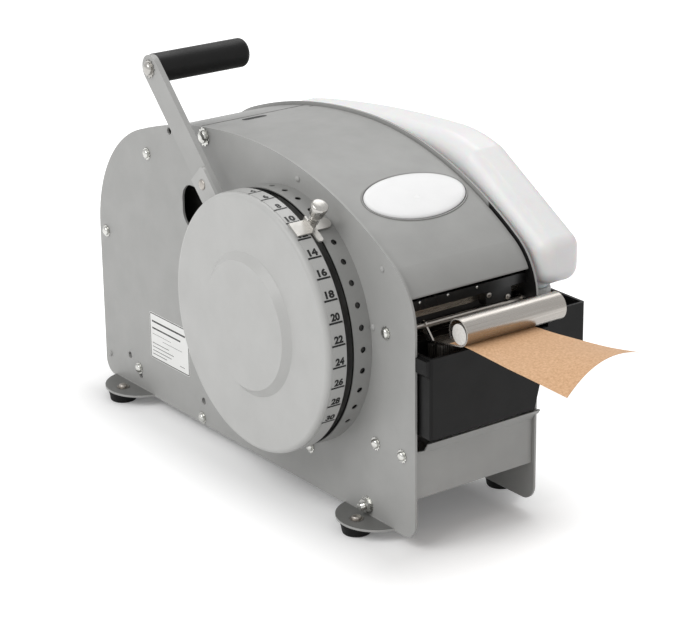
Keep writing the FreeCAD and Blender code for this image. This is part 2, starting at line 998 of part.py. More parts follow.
def makeLeverArm():
    body = leverBody("lever_arm")
    half = d.lever_width / 2
    low = d.lever_offset - half
    high = d.lever_offset + half
    addPad(body, "side", leverFace, d.lever_thickness, [[
        (d.zero, low),
        (d.lever_reach, low),
        (d.lever_reach + half, d.lever_offset, half, 1),
        (d.lever_reach, high, half, 1),
        (d.zero, high),
    ]])
    addPad(body, "side", leverFace, d.lever_thickness, [
        circleLoop(d.zero, d.zero, d.lever_hub_radius),
    ])
    addPocket(body, "side", leverFace - d.overrun, d.lever_thickness + 2 * d.overrun, [
        circleLoop(d.zero, d.zero, d.shaft_radius + d.running_fit),
        circleLoop(d.lever_reach, d.zero, d.grip_bore + d.running_fit),
    ])


makeLeverArm()


def makeDoubler():
    body = leverBody("lever_doubler")
    half = d.lever_width / 2
    low = d.lever_offset - half
    high = d.lever_offset + half
    corner = d.doubler_corner
    addPad(body, "side", leverFace - d.doubler_thickness, d.doubler_thickness, [[
        (doublerStart, low),
        (doublerEnd, low),
        (doublerEnd, high - corner),
        (doublerEnd - corner, high, corner, 1),
        (doublerStart, high),
    ]])


makeDoubler()


def makeLeverRivet():
    body = leverBody("lever_rivet")
    start = leverFace - d.doubler_thickness - d.rivet_rise
    addPad(body, "side", start, d.rivet_rise, [
        circleLoop(rivetReach, d.lever_offset, d.rivet_radius),
    ])


makeLeverRivet()


def leverPoint(reach):
    return d.dial_depth + reach * cosine(d.lever_angle), d.dial_height + reach * sine(d.lever_angle)


gripDepth, gripHeight = leverPoint(d.lever_reach)


def makeGrip():
    body = newBody("grip", leverBack, gripDepth, gripHeight)
    radius = d.grip_radius
    curve = d.grip_round
    addTurning(body, [
        (d.zero, d.grip_bore + d.running_fit),
        (d.grip_length - 2 * curve, d.grip_bore + d.running_fit),
        (d.grip_length - 2 * curve, d.zero),
        (d.grip_length, d.zero),
        (d.grip_length, radius - curve),
        (d.grip_length - curve, radius, curve, 1),
        (d.zero, radius),
    ])


makeGrip()


def makeGripScrew():
    body = newBody("grip_screw", leverFace - d.grip_screw_rise, gripDepth, gripHeight)
    end = d.grip_screw_rise + d.lever_thickness + d.grip_length / 2
    addTurning(body, [
        (d.zero, d.zero),
        (d.zero, d.grip_screw_radius * 2 / 3),
        (d.grip_screw_rise / 2, d.grip_screw_radius),
        (d.grip_screw_rise, d.grip_screw_radius),
        (d.grip_screw_rise, d.grip_bore),
        (end, d.grip_bore),
        (end, d.zero),
    ])


makeGripScrew()


def makeLeverShaft():
    start = leverFace - d.lever_thickness
    item = cylinder("shaft", start, d.dial_depth, d.dial_height, d.shaft_radius, -d.shaft_end - start)
    keep(item, "lever_shaft")


makeLeverShaft()


def bush(x, depth, height, bore, radius, flange_radius, flange, reach):
    # A flanged bush: both lengths are signed, the flange one way from x and the barrel the other.
    lip_start = x + flange if flange < 0 else x
    barrel_start = x + reach if reach < 0 else x
    start = lip_start if flange < 0 else barrel_start
    lip = cylinder("lip", lip_start, depth, height, flange_radius, abs_size(flange))
    barrel = cylinder("barrel", barrel_start, depth, height, radius, abs_size(reach))
    length = abs_size(flange) + abs_size(reach) + 2 * d.overrun
    hole = cylinder("bush_bore", start - d.overrun, depth, height, bore + d.running_fit, length)
    return cut("bush", fuse("bush_blank", [lip, barrel]), hole)


def abs_size(value):
    return -value if value < 0 else value


keep(
    bush(
        -outer,
        d.dial_depth,
        d.dial_height,
        d.shaft_radius,
        d.bush_radius,
        d.bush_flange_radius,
        -d.bush_flange,
        d.plate_thickness + d.fit,
    ),
    "shaft_bush",
)

# Gear train: a sector on the lever shaft, idler gears on a stud and a pinion on the feed shaft

gear_sizes = {
    "gear_module_share": 0.01138,
    "sector_teeth": 80,
    "small_teeth": 20,
    "large_teeth": 64,
    "pinion_teeth": 16,
    "addendum_share": 0.8,
    "dedendum_share": 1.05,
    "tip_share": 0.26,
    "root_share": 0.6,
    "gear_width": 5,
    "sector_start": -56,
    "sector_hub_radius": 13,
    "sector_front_teeth": 5,
    "sector_back_teeth": 20,
    "second_gear_start": -50.5,
    "idler_stud_radius": 4,
    "idler_hub_radius": 8,
}
sizes(gear_sizes)

feedAway = d.dial_depth - d.feed_depth
feedRise = d.feed_height - d.dial_height
feedReach = root(feedAway * feedAway + feedRise * feedRise)
gearModule = feedReach * d.gear_module_share
sectorRadius = gearModule * d.sector_teeth / 2
smallRadius = gearModule * d.small_teeth / 2
largeRadius = gearModule * d.large_teeth / 2
pinionRadius = gearModule * d.pinion_teeth / 2
firstReach = sectorRadius + smallRadius
secondReach = largeRadius + pinionRadius
idlerAlong = (firstReach * firstReach - secondReach * secondReach + feedReach * feedReach) / (2 * feedReach)
idlerAside = root(firstReach * firstReach - idlerAlong * idlerAlong)
idlerDepth = d.dial_depth - (idlerAlong * feedAway - idlerAside * feedRise) / feedReach
idlerHeight = d.dial_height + (idlerAlong * feedRise + idlerAside * feedAway) / feedReach


def toothedWire(teeth, first, last, x, centre, turn):
    # The outline of a toothed wheel, or of the teeth numbered first to last with arms to the hub.
    pitch = 2 * math.pi / teeth
    radius = float(gearModule) * teeth / 2
    low = radius - float(gearModule * d.dedendum_share)
    high = radius + float(gearModule * d.addendum_share)
    points = []
    for number in range(first, last + 1):
        middle = number * pitch + turn
        foot = d.root_share / 2
        tip = d.tip_share / 2
        corners = ((low, -foot), (high, -tip), (high, tip), (low, foot))
        for reach, share in corners:
            angle = middle + float(share) * pitch
            points.append((reach * math.cos(angle), reach * math.sin(angle)))
    if last - first + 1 < teeth:
        points.append((0, 0))
    vectors = [FreeCAD.Vector(float(x), centre[0] + u, centre[1] + v) for u, v in points]
    return Part.makePolygon(vectors + vectors[:1])


def gearDisc(teeth, first, last, x, centre, turn):
    face = Part.Face(toothedWire(teeth, first, last, x, centre, turn))
    return face.extrude(FreeCAD.Vector(float(d.gear_width), 0, 0))


def roundBar(x, length, centre, radius):
    start = FreeCAD.Vector(float(x), *centre)
    return Part.makeCylinder(float(radius), float(length), start, FreeCAD.Vector(1, 0, 0))


def feature(label, shape):
    item = doc.addObject("Part::Feature", label)
    item.Shape = shape
    item.Placement = FreeCAD.Placement(FreeCAD.Vector(0, -float(d.origin_depth), 0), FreeCAD.Rotation())
    return keep(item, label)


dialCentre = (float(d.dial_depth), float(d.dial_height))
idlerCentre = (float(idlerDepth), float(idlerHeight))
feedCentre = (float(d.feed_depth), float(d.feed_height))


def directionTo(start, end):
    return math.atan2(end[1] - start[1], end[0] - start[0])


def makeGears():
    # Each wheel is turned so that a tooth of one lies in a gap of the next on the line of centres.
    towards = directionTo(dialCentre, idlerCentre)
    sector_pitch = 2 * math.pi / int(d.sector_teeth)
    sector = gearDisc(
        int(d.sector_teeth),
        -int(d.sector_back_teeth),
        int(d.sector_front_teeth),
        d.sector_start,
        dialCentre,
        towards,
    )
    hub = roundBar(d.sector_start, d.gear_width, dialCentre, d.sector_hub_radius)
    bore_length = d.gear_width + 2 * d.overrun
    bore = roundBar(d.sector_start - d.overrun, bore_length, dialCentre, d.shaft_radius + d.running_fit)
    feature("drive_sector", sector.fuse(hub).cut(bore).removeSplitter())

    small_pitch = 2 * math.pi / int(d.small_teeth)
    back = directionTo(idlerCentre, dialCentre)
    small = gearDisc(
        int(d.small_teeth), 0, int(d.small_teeth) - 1, d.sector_start, idlerCentre, back + small_pitch / 2
    )
    onward = directionTo(idlerCentre, feedCentre)
    large = gearDisc(
        int(d.large_teeth), 0, int(d.large_teeth) - 1, d.second_gear_start, idlerCentre, onward
    )
    between = roundBar(
        d.sector_start, d.second_gear_start - d.sector_start + d.gear_width, idlerCentre, d.idler_hub_radius
    )
    length = d.second_gear_start - d.sector_start + d.gear_width
    bore_length = length + 2 * d.overrun
    bore = roundBar(d.sector_start - d.overrun, bore_length, idlerCentre, d.idler_stud_radius + d.running_fit)
    feature("idler_gears", small.fuse([large, between]).cut(bore).removeSplitter())

    pinion_pitch = 2 * math.pi / int(d.pinion_teeth)
    back = directionTo(feedCentre, idlerCentre)
    pinion = gearDisc(
        int(d.pinion_teeth),
        0,
        int(d.pinion_teeth) - 1,
        d.second_gear_start,
        feedCentre,
        back + pinion_pitch / 2,
    )
    bore = roundBar(
        d.second_gear_start - d.overrun,
        d.gear_width + 2 * d.overrun,
        feedCentre,
        d.feed_shaft_radius + d.running_fit,
    )
    feature("feed_pinion", pinion.cut(bore))


feed_sizes = {
    "feed_shaft_radius": 5,
    "feed_wheel_radius": 19,
    "feed_wheel_start": -38,
    "feed_wheel_length": 66,
    "feed_bush_flange_radius": 11,
    "feed_bush_flange": 2,
    "blind_bush_length": 6,
    "idler_stud_head": 7,
    "idler_stud_head_length": 3,
}
sizes(feed_sizes)

makeGears()


def makeIdlerStud():
    body = newBody("idler_stud", -inner, idlerDepth, idlerHeight)
    length = d.second_gear_start + d.gear_width + inner + d.fit
    head = d.idler_stud_head
    addTurning(body, [
        (d.zero, d.zero),
        (d.zero, head),
        (d.sector_start + inner - d.fit, head),
        (d.sector_start + inner - d.fit, d.idler_stud_radius),
        (length, d.idler_stud_radius),
        (length, head),
        (length + d.idler_stud_head_length, head),
        (length + d.idler_stud_head_length, d.zero),
    ])


makeIdlerStud()


def makeFeedShaft():
    start = -inner + d.fit
    item = cylinder("feed_bar", start, d.feed_depth, d.feed_height, d.feed_shaft_radius, outer - start)
    keep(item, "feed_shaft")


makeFeedShaft()


def makeFeedWheel():
    body = newBody("feed_wheel", d.feed_wheel_start, d.feed_depth, d.feed_height)
    addTurning(body, [
        (d.zero, d.feed_shaft_radius + d.running_fit),
        (d.zero, d.feed_wheel_radius),
        (d.feed_wheel_length, d.feed_wheel_radius),
        (d.feed_wheel_length, d.feed_shaft_radius + d.running_fit),
    ])


makeFeedWheel()


def makeFeedBushes():
    # The left bush is blind behind the plate, the right one goes through it.
    bushes = []
    for side, reach in ((-1, d.blind_bush_length), (1, d.plate_thickness)):
        bushes.append(bush(
            side * inner,
            d.feed_depth,
            d.feed_height,
            d.feed_shaft_radius,
            d.feed_bush_radius,
            d.feed_bush_flange_radius,
            -side * d.feed_bush_flange,
            reach,
        ))
    keep(group("bushes_of_feed", bushes), "feed_bushes")


makeFeedBushes()

# Tape path: the web comes over the feed wheel, and a sprung roller presses it down

tape_path_sizes = {
    "tape_width": 72,
    "tape_left": -41,
    "tape_thickness": 0.4,
    "pressure_roller_radius": 8,
    "pressure_roller_trim": 4,
    "pressure_pin_radius": 2.5,
    "yoke_back": 23,
    "yoke_rise": 18.7,
    "cross_rod_radius": 3,
    "yoke_arm_width": 10,
    "yoke_arm_thickness": 2,
}
sizes(tape_path_sizes)

# The web is a straight line that touches the feed wheel and the roll from above
wheelReach = d.feed_wheel_radius + d.fit
rollAway = d.roll_depth - d.feed_depth
rollDrop = d.feed_height - d.roll_height
rollStep = d.roll_radius - d.feed_wheel_radius
rollReach = root(rollAway * rollAway + rollDrop * rollDrop)
webLength = root(rollReach * rollReach - rollStep * rollStep)
webAlong = (rollAway * webLength + rollDrop * rollStep) / (rollReach * rollReach)
webRise = (rollAway * rollStep - rollDrop * webLength) / (rollReach * rollReach)
rollerLift = wheelReach + d.tape_thickness + 2 * d.fit + d.pressure_roller_radius
rollerHeight = d.feed_height + rollerLift / webAlong
webFootDepth = d.feed_depth - webRise * wheelReach
webFootHeight = d.feed_height + webAlong * wheelReach
yokeDepth = d.feed_depth + d.yoke_back
yokeHeight = rollerHeight + d.yoke_rise


def webUnderside(depth):
    return webFootHeight - (webFootDepth - depth) * webRise / webAlong


tapeRight = d.tape_left + d.tape_width
rollerStart = d.tape_left + d.pressure_roller_trim
rollerLength = d.tape_width - 2 * d.pressure_roller_trim


def makePressureRoller():
    body = newBody("pressure_roller", rollerStart, d.feed_depth, rollerHeight)
    addTurning(body, [
        (d.zero, d.pressure_pin_radius + d.running_fit),
        (d.zero, d.pressure_roller_radius),
        (rollerLength, d.pressure_roller_radius),
        (rollerLength, d.pressure_pin_radius + d.running_fit),
    ])


makePressureRoller()


def makePressureYoke():
    # Two arms and the pin between them, with the pin in the roller and the arms on the yoke rod.
    body = newBody("pressure_yoke")
    away = d.yoke_back
    rise = d.yoke_rise
    reach = root(away * away + rise * rise)
    half = d.yoke_arm_width / 2
    side_u = half * rise / reach
    side_v = half * away / reach
    arm = [
        (yokeDepth + side_u, yokeHeight - side_v),
        (yokeDepth + half * away / reach, yokeHeight + half * rise / reach, half, 1),
        (yokeDepth - side_u, yokeHeight + side_v, half, 1),
        (d.feed_depth - side_u, rollerHeight + side_v),
        (d.feed_depth - half * away / reach, rollerHeight - half * rise / reach, half, 1),
        (d.feed_depth + side_u, rollerHeight - side_v, half, 1),
    ]
    starts = (rollerStart - d.fit - d.yoke_arm_thickness, rollerStart + rollerLength + d.fit)
    length = starts[1] - starts[0] + d.yoke_arm_thickness
    addPad(body, "side", starts[0], length, [
        circleLoop(d.feed_depth, rollerHeight, d.pressure_pin_radius),
    ])
    for start in starts:
        addPad(body, "side", start, d.yoke_arm_thickness, [arm])
    addPocket(body, "side", starts[0] - d.overrun, length + 2 * d.overrun, [
        circleLoop(yokeDepth, yokeHeight, d.cross_rod_radius + d.running_fit),
    ])


makePressureYoke()

spring_sizes = {
    "spring_wire_radius": 0.6,
    "spring_turns": 5,
    "spring_pitch": 1.6,
    "spring_leg": 18,
}
sizes(spring_sizes)


def makePressureSpring():
    # A torsion spring on the yoke's rod: one leg bears on the yoke's arm, the other is held in the
    # right plate. It is made with its coil along Z, then turned to lie along the rod.
    wire = float(d.spring_wire_radius)
    radius = float(d.yoke_arm_width / 2 + d.fit) + wire
    coil = Part.makeHelix(float(d.spring_pitch), float(d.spring_pitch * d.spring_turns), radius, 0, True)
    turn = coil.Edges[0]
    foot = turn.valueAt(turn.FirstParameter)
    tangent = turn.tangentAt(turn.FirstParameter)
    corner = foot - tangent * float(d.spring_leg)
    profile = Part.Wire(Part.makeCircle(wire, corner, tangent))
    sweep = Part.Wire([Part.makeLine(corner, foot)] + coil.Edges).makePipeShell([profile], True, True)
    end = coil.Vertexes[-1].Point
    arm_end = rollerStart + rollerLength + d.fit + d.yoke_arm_thickness
    start = float(arm_end + d.fit) + wire
    hook = Part.makeCylinder(wire, float(d.yoke_arm_thickness), corner, FreeCAD.Vector(0, 0, -1))
    tail = Part.makeCylinder(wire, float(inner) - start - end.z, end, FreeCAD.Vector(0, 0, 1))
    shape = sweep.fuse([hook, tail, Part.makeSphere(wire, corner), Part.makeSphere(wire, end)])
    away = float(d.yoke_back)
    rise = float(d.yoke_rise)
    upward = FreeCAD.Vector(0, -rise, away).normalize()
    along = FreeCAD.Vector(0, -away, -rise).normalize()
    place = FreeCAD.Vector(start, float(yokeDepth), float(yokeHeight))
    rotation = FreeCAD.Rotation(upward, along, FreeCAD.Vector(1, 0, 0), "XYZ")
    shape = shape.transformGeometry(FreeCAD.Placement(place, rotation).toMatrix())
    feature("pressure_spring", shape)


makePressureSpring()

# Cutter: a fixed knife below the tape, a moving knife above it and a black guard bar in front

cutter_sizes = {
    "fixed_knife_depth": 26,
    "fixed_knife_thickness": 5,
    "fixed_knife_bottom_rise": 5.5,
    "moving_knife_thickness": 2.5,
    "moving_knife_bottom_rise": 23,
    "moving_knife_top_rise": 37,
    "knife_gap": 0.4,
    "guard_depth": 13,
    "guard_thickness": 3,
    "guard_bottom_rise": 32.8,
    "guard_top_rise": 41,
    "guard_top_depth": 9.8,
    "guard_block_left": 20,
    "guard_block_length": 26,
    "guard_block_rise": 21,
    "link_width": 8,
    "link_top_rise": 54,
    "guide_rod_radius": 2.2,
    "guide_rod_depth": 38,
    "guide_rod_rise": 38,
}
sizes(cutter_sizes)

fixedKnifeBottom = d.feed_height + d.fixed_knife_bottom_rise
fixedKnifeTop = webUnderside(d.fixed_knife_depth) - d.fit
movingKnifeBottom = d.feed_height + d.moving_knife_bottom_rise
movingKnifeTop = d.feed_height + d.moving_knife_top_rise
guardBottom = d.feed_height + d.guard_bottom_rise
guardTop = d.feed_height + d.guard_top_rise
linkTop = d.feed_height + d.link_top_rise
guardBlockBottom = d.feed_height + d.guard_block_rise
guideRodHeight = d.feed_height + d.guide_rod_rise


def crossBar(label, depth, thickness, bottom, top, gap):
    item = box("bar", -inner + gap, depth, bottom, d.plate_gap - 2 * gap, thickness, top - bottom)
    keep(item, label)


crossBar("fixed_knife", d.fixed_knife_depth, d.fixed_knife_thickness, fixedKnifeBottom, fixedKnifeTop, d.fit)


def makeMovingKnife():
    body = newBody("moving_knife")
    half = inner - d.fit
    start = d.fixed_knife_depth - d.knife_gap - d.moving_knife_thickness
    addPad(body, "front", start, d.moving_knife_thickness, [[
        (-half, movingKnifeBottom),
        (half, movingKnifeBottom),
        (half, linkTop),
        (half - d.link_width, linkTop),
        (half - d.link_width, movingKnifeTop),
        (-half + d.link_width, movingKnifeTop),
        (-half + d.link_width, linkTop),
        (-half, linkTop),
    ]])


makeMovingKnife()


def makeGuardBar():
    body = newBody("guard_bar")
    half = inner - d.fit
    addPad(body, "side", -half, 2 * half, [[
        (d.guard_depth, guardBottom),
        (d.guard_depth + d.guard_thickness, guardBottom),
        (d.guard_depth + d.guard_thickness, guardTop - d.guard_thickness),
        (d.guard_depth + d.guard_top_depth, guardTop - d.guard_thickness),
        (d.guard_depth + d.guard_top_depth, guardTop),
        (d.guard_depth, guardTop),
    ]])
    front = d.guard_depth + d.guard_thickness / 2
    back = d.guard_depth + d.guard_top_depth
    addPad(body, "side", d.guard_block_left, d.guard_block_length, [[
        (front, guardBlockBottom),
        (back, guardBlockBottom),
        (back, guardTop - d.guard_thickness),
        (front, guardTop - d.guard_thickness),
    ]])


makeGuardBar()
keep(rodAt(d.guide_rod_depth, guideRodHeight, d.guide_rod_radius), "guide_rod")

guide_sizes = {
    "guide_thickness": 2,
    "guide_bottom_rise": 11,
    "guide_top_rise": 43,
    "guide_front": 31.5,
    "guide_back": 44,
}
sizes(guide_sizes)

guideBottom = d.feed_height + d.guide_bottom_rise
guideTop = d.feed_height + d.guide_top_rise


def makeTapeGuide(label, x):
    # A plate beside the tape that hangs on the guide rod.
    body = newBody(label)
    addPad(body, "side", x, d.guide_thickness, [
        [
            (d.guide_front, guideBottom),
            (d.guide_back, guideBottom),
            (d.guide_back, guideTop),
            (d.guide_front, guideTop),
        ],
        circleLoop(d.guide_rod_depth, guideRodHeight, d.guide_rod_radius + d.running_fit),
    ])


makeTapeGuide("left_tape_guide", d.tape_left - d.fit - d.guide_thickness)
makeTapeGuide("right_tape_guide", tapeRight + d.fit)

# Tape: the roll on its core, cradled on two rollers, the web to the cutter and the cut strip

roll_sizes = {
    "core_radius": 19,
    "core_wall": 2,
    "cradle_radius": 8,
    "cradle_angle": 36,
}
sizes(roll_sizes)


def makeTapeRoll():
    body = newBody("tape_roll", d.tape_left, d.roll_depth, d.roll_height)
    addPad(body, "side", d.zero, d.tape_width, [
        circleLoop(d.zero, d.zero, d.roll_radius),
        circleLoop(d.zero, d.zero, d.core_radius),
    ])
    core = newBody("tape_core", d.tape_left, d.roll_depth, d.roll_height)
    addPad(core, "side", d.zero, d.tape_width, [
        circleLoop(d.zero, d.zero, d.core_radius - d.running_fit),
        circleLoop(d.zero, d.zero, d.core_radius - d.core_wall),
    ])


makeTapeRoll()


def makeCradle():
    rods = [rodAt(yokeDepth, yokeHeight, d.cross_rod_radius)]
    reach = d.roll_radius + d.fit + d.cradle_radius
    for label, side in (("front", -1), ("rear", 1)):
        depth = d.roll_depth + side * reach * sine(d.cradle_angle)
        height = d.roll_height - reach * cosine(d.cradle_angle)
        body = newBody(label + "_cradle_roller", d.tape_left, depth, height)
        addTurning(body, [
            (d.zero, d.cross_rod_radius + d.running_fit),
            (d.zero, d.cradle_radius),
            (d.tape_width, d.cradle_radius),
            (d.tape_width, d.cross_rod_radius + d.running_fit),
        ])
        rods.append(rodAt(depth, height, d.cross_rod_radius))
    keep(group("rods_of_rollers", rods), "cross_rods")


makeCradle()

# Weight plate: a bright sheet that rests on the tape, curled up at the front round a solid bar

weight_sizes = {
    "curl_depth": -27.4,
    "curl_rise": 24.9,
    "curl_radius": 11.3,
    "weight_thickness": 1,
    "weight_left": -42,
    "weight_length": 100,
    "weight_back": 11,
    "weight_back_rise": 6.9,
    "bar_radius": 8.4,
    "hinge_rod_radius": 2.5,
    "hinge_depth": 16,
    "weight_hinge_rise": 18,
    "ear_width": 8,
    "ear_thickness": 1.5,
}
sizes(weight_sizes)

weightHingeHeight = d.feed_height + d.weight_hinge_rise
curlHeight = d.feed_height + d.curl_rise
weightRight = d.weight_left + d.weight_length
# The sheet's underside leaves the curl along a tangent from the sheet's back end
backAway = d.weight_back - d.curl_depth
backDrop = d.curl_rise - d.weight_back_rise
backReach = root(backAway * backAway + backDrop * backDrop)
tangentReach = root(backReach * backReach - d.curl_radius * d.curl_radius)
# Components of the unit vector from the tangent point back along the sheet
sheetU = (backAway * tangentReach + backDrop * d.curl_radius) / (backReach * backReach)
sheetV = -(backDrop * tangentReach - backAway * d.curl_radius) / (backReach * backReach)


def sheetPoint(along, rise):
    # A place on the sheet: along from the tangent point to the back, and rise above the underside.
    return (
        d.curl_depth + sheetV * (d.curl_radius - rise) + sheetU * along,
        curlHeight - sheetU * (d.curl_radius - rise) + sheetV * along,
    )


def makeWeightPlate():
    body = newBody("weight_plate")
    inside = d.curl_radius - d.weight_thickness
    outside = d.curl_radius
    y, z = d.curl_depth, curlHeight
    tail = root(outside * outside / 2)
    tail_in = root(inside * inside / 2)
    addPad(body, "side", d.weight_left, d.weight_length, [[
        sheetPoint(tangentReach, d.zero),
        sheetPoint(tangentReach, d.weight_thickness),
        sheetPoint(d.zero, d.weight_thickness),
        (y - inside, z, inside, -1),
        (y, z + inside, inside, -1),
        (y + inside, z, inside, -1),
        (y + tail_in, z - tail_in, inside, -1),
        (y + tail, z - tail),
        (y + outside, z, outside, 1),
        (y, z + outside, outside, 1),
        (y - outside, z, outside, 1),
        (*sheetPoint(d.zero, d.zero), outside, 1),
    ]])
    half = d.ear_width / 2
    foot_y, foot_z = sheetPoint(tangentReach, d.weight_thickness)
    for start in (d.weight_left, weightRight - d.ear_thickness):
        addPad(body, "side", start, d.ear_thickness, [[
            (foot_y - 2 * half, foot_z - 2 * half * sheetV / sheetU - d.weight_thickness),
            (foot_y, foot_z - d.weight_thickness),
            (d.hinge_depth + half, weightHingeHeight),
            (d.hinge_depth, weightHingeHeight + half, half, 1),
            (d.hinge_depth - half, weightHingeHeight, half, 1),
        ]])
    addPocket(body, "side", d.weight_left - d.overrun, d.weight_length + 2 * d.overrun, [
        circleLoop(d.hinge_depth, weightHingeHeight, d.hinge_rod_radius + d.running_fit),
    ])


makeWeightPlate()


def makeWeightBar():
    # The bar lies low and to the front in the curl.
    room = d.curl_radius - d.weight_thickness - d.fit - d.bar_radius
    shift = room * cosine(45)
    item = cylinder(
        "curl_bar",
        d.weight_left,
        d.curl_depth - shift,
        curlHeight - shift,
        d.bar_radius,
        d.weight_length,
    )
    keep(item, "weight_bar")


makeWeightBar()
keep(rodAt(d.hinge_depth, weightHingeHeight, d.hinge_rod_radius), "weight_hinge_rod")

# The cut strip lies under the weight plate and curls as it comes out

strip_sizes = {
    "strip_length": 118,
    "strip_back": 8,
    "strip_left_drop": 2,
    "strip_right_rise": 15,
    "strip_sections": 7,
    "strip_cup": 9,
}
sizes(strip_sizes)


def makeTapeStrip():
    # Ruled between cross sections; beyond the curl the strip cups across and lifts at its right.
    left, right = float(d.tape_left), float(tapeRight)
    thick = float(d.tape_thickness)
    gap = float(d.fit)
    start_y, start_z = [float(v) for v in sheetPoint(tangentReach - d.strip_back, -d.fit)]
    exit_y, exit_z = [float(v) for v in sheetPoint(d.zero, -d.fit)]
    exit_y -= float(d.curl_radius) / 2
    end_y = exit_y - float(d.strip_length)
    wires = [stripSection(left, right, start_y, start_z, 0, 0, 0, thick)]
    count = int(d.strip_sections)
    for number in range(count + 1):
        share = number / count
        y = exit_y + (end_y - exit_y) * share
        left_z = -float(d.strip_left_drop) * share * share
        right_z = float(d.strip_right_rise) * share * share
        cup = float(d.strip_cup) * share
        wires.append(stripSection(left, right, y, exit_z, left_z, right_z, cup, thick))
    feature("tape_strip", Part.makeLoft(wires, True, True))


def stripSection(left, right, y, z, left_rise, right_rise, cup, thick):
    lower = []
    for share in (0, 0.25, 0.5, 0.75, 1):
        x = left + (right - left) * share
        sag = cup * 4 * share * (1 - share)
        lower.append(FreeCAD.Vector(x, y, z - thick + left_rise + (right_rise - left_rise) * share + sag))
    upper = [FreeCAD.Vector(p.x, p.y, p.z + thick) for p in reversed(lower)]
    return Part.makePolygon(lower + upper + lower[:1])


makeTapeStrip()


def makeTapeWeb():
    # From the edge of the fixed knife over the feed wheel to where it touches the roll.
    body = newBody("tape_web", d.tape_left)
    lift = d.tape_thickness
    end = d.fixed_knife_depth + d.fit
    end_height = webUnderside(end)
    top = (webFootDepth + webAlong * webLength, webFootHeight + webRise * webLength)
    addPad(body, "side", d.zero, d.tape_width, [[
        (end, end_height),
        top,
        (top[0] - webRise * lift, top[1] + webAlong * lift),
        (end, end_height + lift / webAlong),
    ]])


makeTapeWeb()

# Water tank: a basin between the plates and a well for the bottle outside the right plate

tank_sizes = {
    "tank_front": -15,
    "tank_back": 24,
    "tank_left": -59,
    "tank_inner_right": 57,
    "tank_step": 60,
    "tank_right": 99,
    "tank_rim_rise": 2.5,
    "tank_slope_foot": 47.2,
    "tank_slope_top": 52.5,
    "tank_well_left": 65.4,
    "tank_well_back": 46,
    "tank_well_drop": 45,
    "tank_well_rise": 15,
    "tank_wall": 2.5,
    "tank_channel": 13.5,
    "tank_corner": 2.4,
    "tank_lug_front": -13.6,
    "tank_lug_length": 13.2,
    "tank_lug_drop": 14,
    "tank_lug_rise": 1,
    "tank_lug_reach": 3.5,
}
sizes(tank_sizes)

tankLugTop = d.feed_height + d.tank_lug_rise
tankLugBottom = d.feed_height - d.tank_lug_drop
tankWellRim = d.feed_height + d.tank_well_rise
tankWellBottom = d.feed_height - d.tank_well_drop
tankRim = d.feed_height + d.tank_rim_rise
tankFloor = shelfHeight + d.sheet_thickness + d.fit


def makeWaterTank():
    body = newBody("water_tank")
    wall = d.tank_wall
    front = d.tank_front
    channel = front + d.tank_channel
    addPad(body, "front", front, d.tank_channel, [[
        (d.tank_left, tankFloor),
        (d.tank_slope_foot, tankFloor),
        (d.tank_slope_top, tankWellBottom),
        (d.tank_right, tankWellBottom),
        (d.tank_right, tankWellRim),
        (d.tank_step, tankWellRim),
        (d.tank_step, tankRim),
        (d.tank_left, tankRim),
    ]])
    addPad(body, "front", channel, d.tank_back - channel, [[
        (d.tank_left, tankFloor),
        (d.tank_slope_foot, tankFloor),
        (d.tank_slope_top, tankWellBottom),
        (d.tank_inner_right, tankWellBottom),
        (d.tank_inner_right, tankRim),
        (d.tank_left, tankRim),
    ]])
    addPad(body, "top", tankWellBottom, tankWellRim - tankWellBottom, [[
        (d.tank_well_left, channel - wall),
        (d.tank_right, channel - wall),
        (d.tank_right, d.tank_well_back),
        (d.tank_well_left, d.tank_well_back),
    ]])
    roundEdges(body, d.tank_corner, tankCorner)
    # The basin, its deeper part inside the slope, then the well and the channel to it
    addPocket(body, "top", tankFloor + wall, tankWellRim - tankFloor, [[
        (d.tank_left + wall, front + wall),
        (d.tank_slope_foot - wall, front + wall),
        (d.tank_slope_foot - wall, d.tank_back - wall),
        (d.tank_left + wall, d.tank_back - wall),
    ]])
    addPocket(body, "top", tankWellBottom + wall, tankWellRim - tankWellBottom, [[
        (d.tank_slope_foot - 2 * wall, front + wall),
        (d.tank_inner_right - wall, front + wall),
        (d.tank_inner_right - wall, d.tank_back - wall),
        (d.tank_slope_foot - 2 * wall, d.tank_back - wall),
    ]])
    addPocket(body, "top", tankWellBottom + wall, tankWellRim - tankWellBottom, [[
        (d.tank_inner_right - 2 * wall, front + wall),
        (d.tank_right - wall, front + wall),
        (d.tank_right - wall, d.tank_well_back - wall),
        (d.tank_well_left + wall, d.tank_well_back - wall),
        (d.tank_well_left + wall, channel - wall),
        (d.tank_inner_right - 2 * wall, channel - wall),
    ]])
    # A lug on the left wall comes to rest against the plate's front edge
    chamfer = d.tank_lug_reach
    addPad(body, "front", d.tank_lug_front, d.tank_lug_length, [[
        (d.tank_left - d.tank_lug_reach, tankLugBottom + chamfer),
        (d.tank_left, tankLugBottom),
        (d.tank_left + wall, tankLugBottom),
        (d.tank_left + wall, tankLugTop),
        (d.tank_left - d.tank_lug_reach, tankLugTop),
    ]])


def tankCorner(edge):
    middle = edge.CenterOfMass
    if not runsAlong(edge, 2):
        return False
    return near(middle.x, d.tank_left) or near(middle.x, d.tank_right)


makeWaterTank()

# Brushes: two rows of bristles in a holder that stands in the basin

brush_sizes = {
    "holder_front": -9,
    "holder_depth": 26,
    "holder_left": -44,
    "holder_length": 88,
    "holder_height": 16,
    "bristle_depth": 8,
    "bristle_trim": 3,
    "bristle_inset": 3,
}
sizes(brush_sizes)


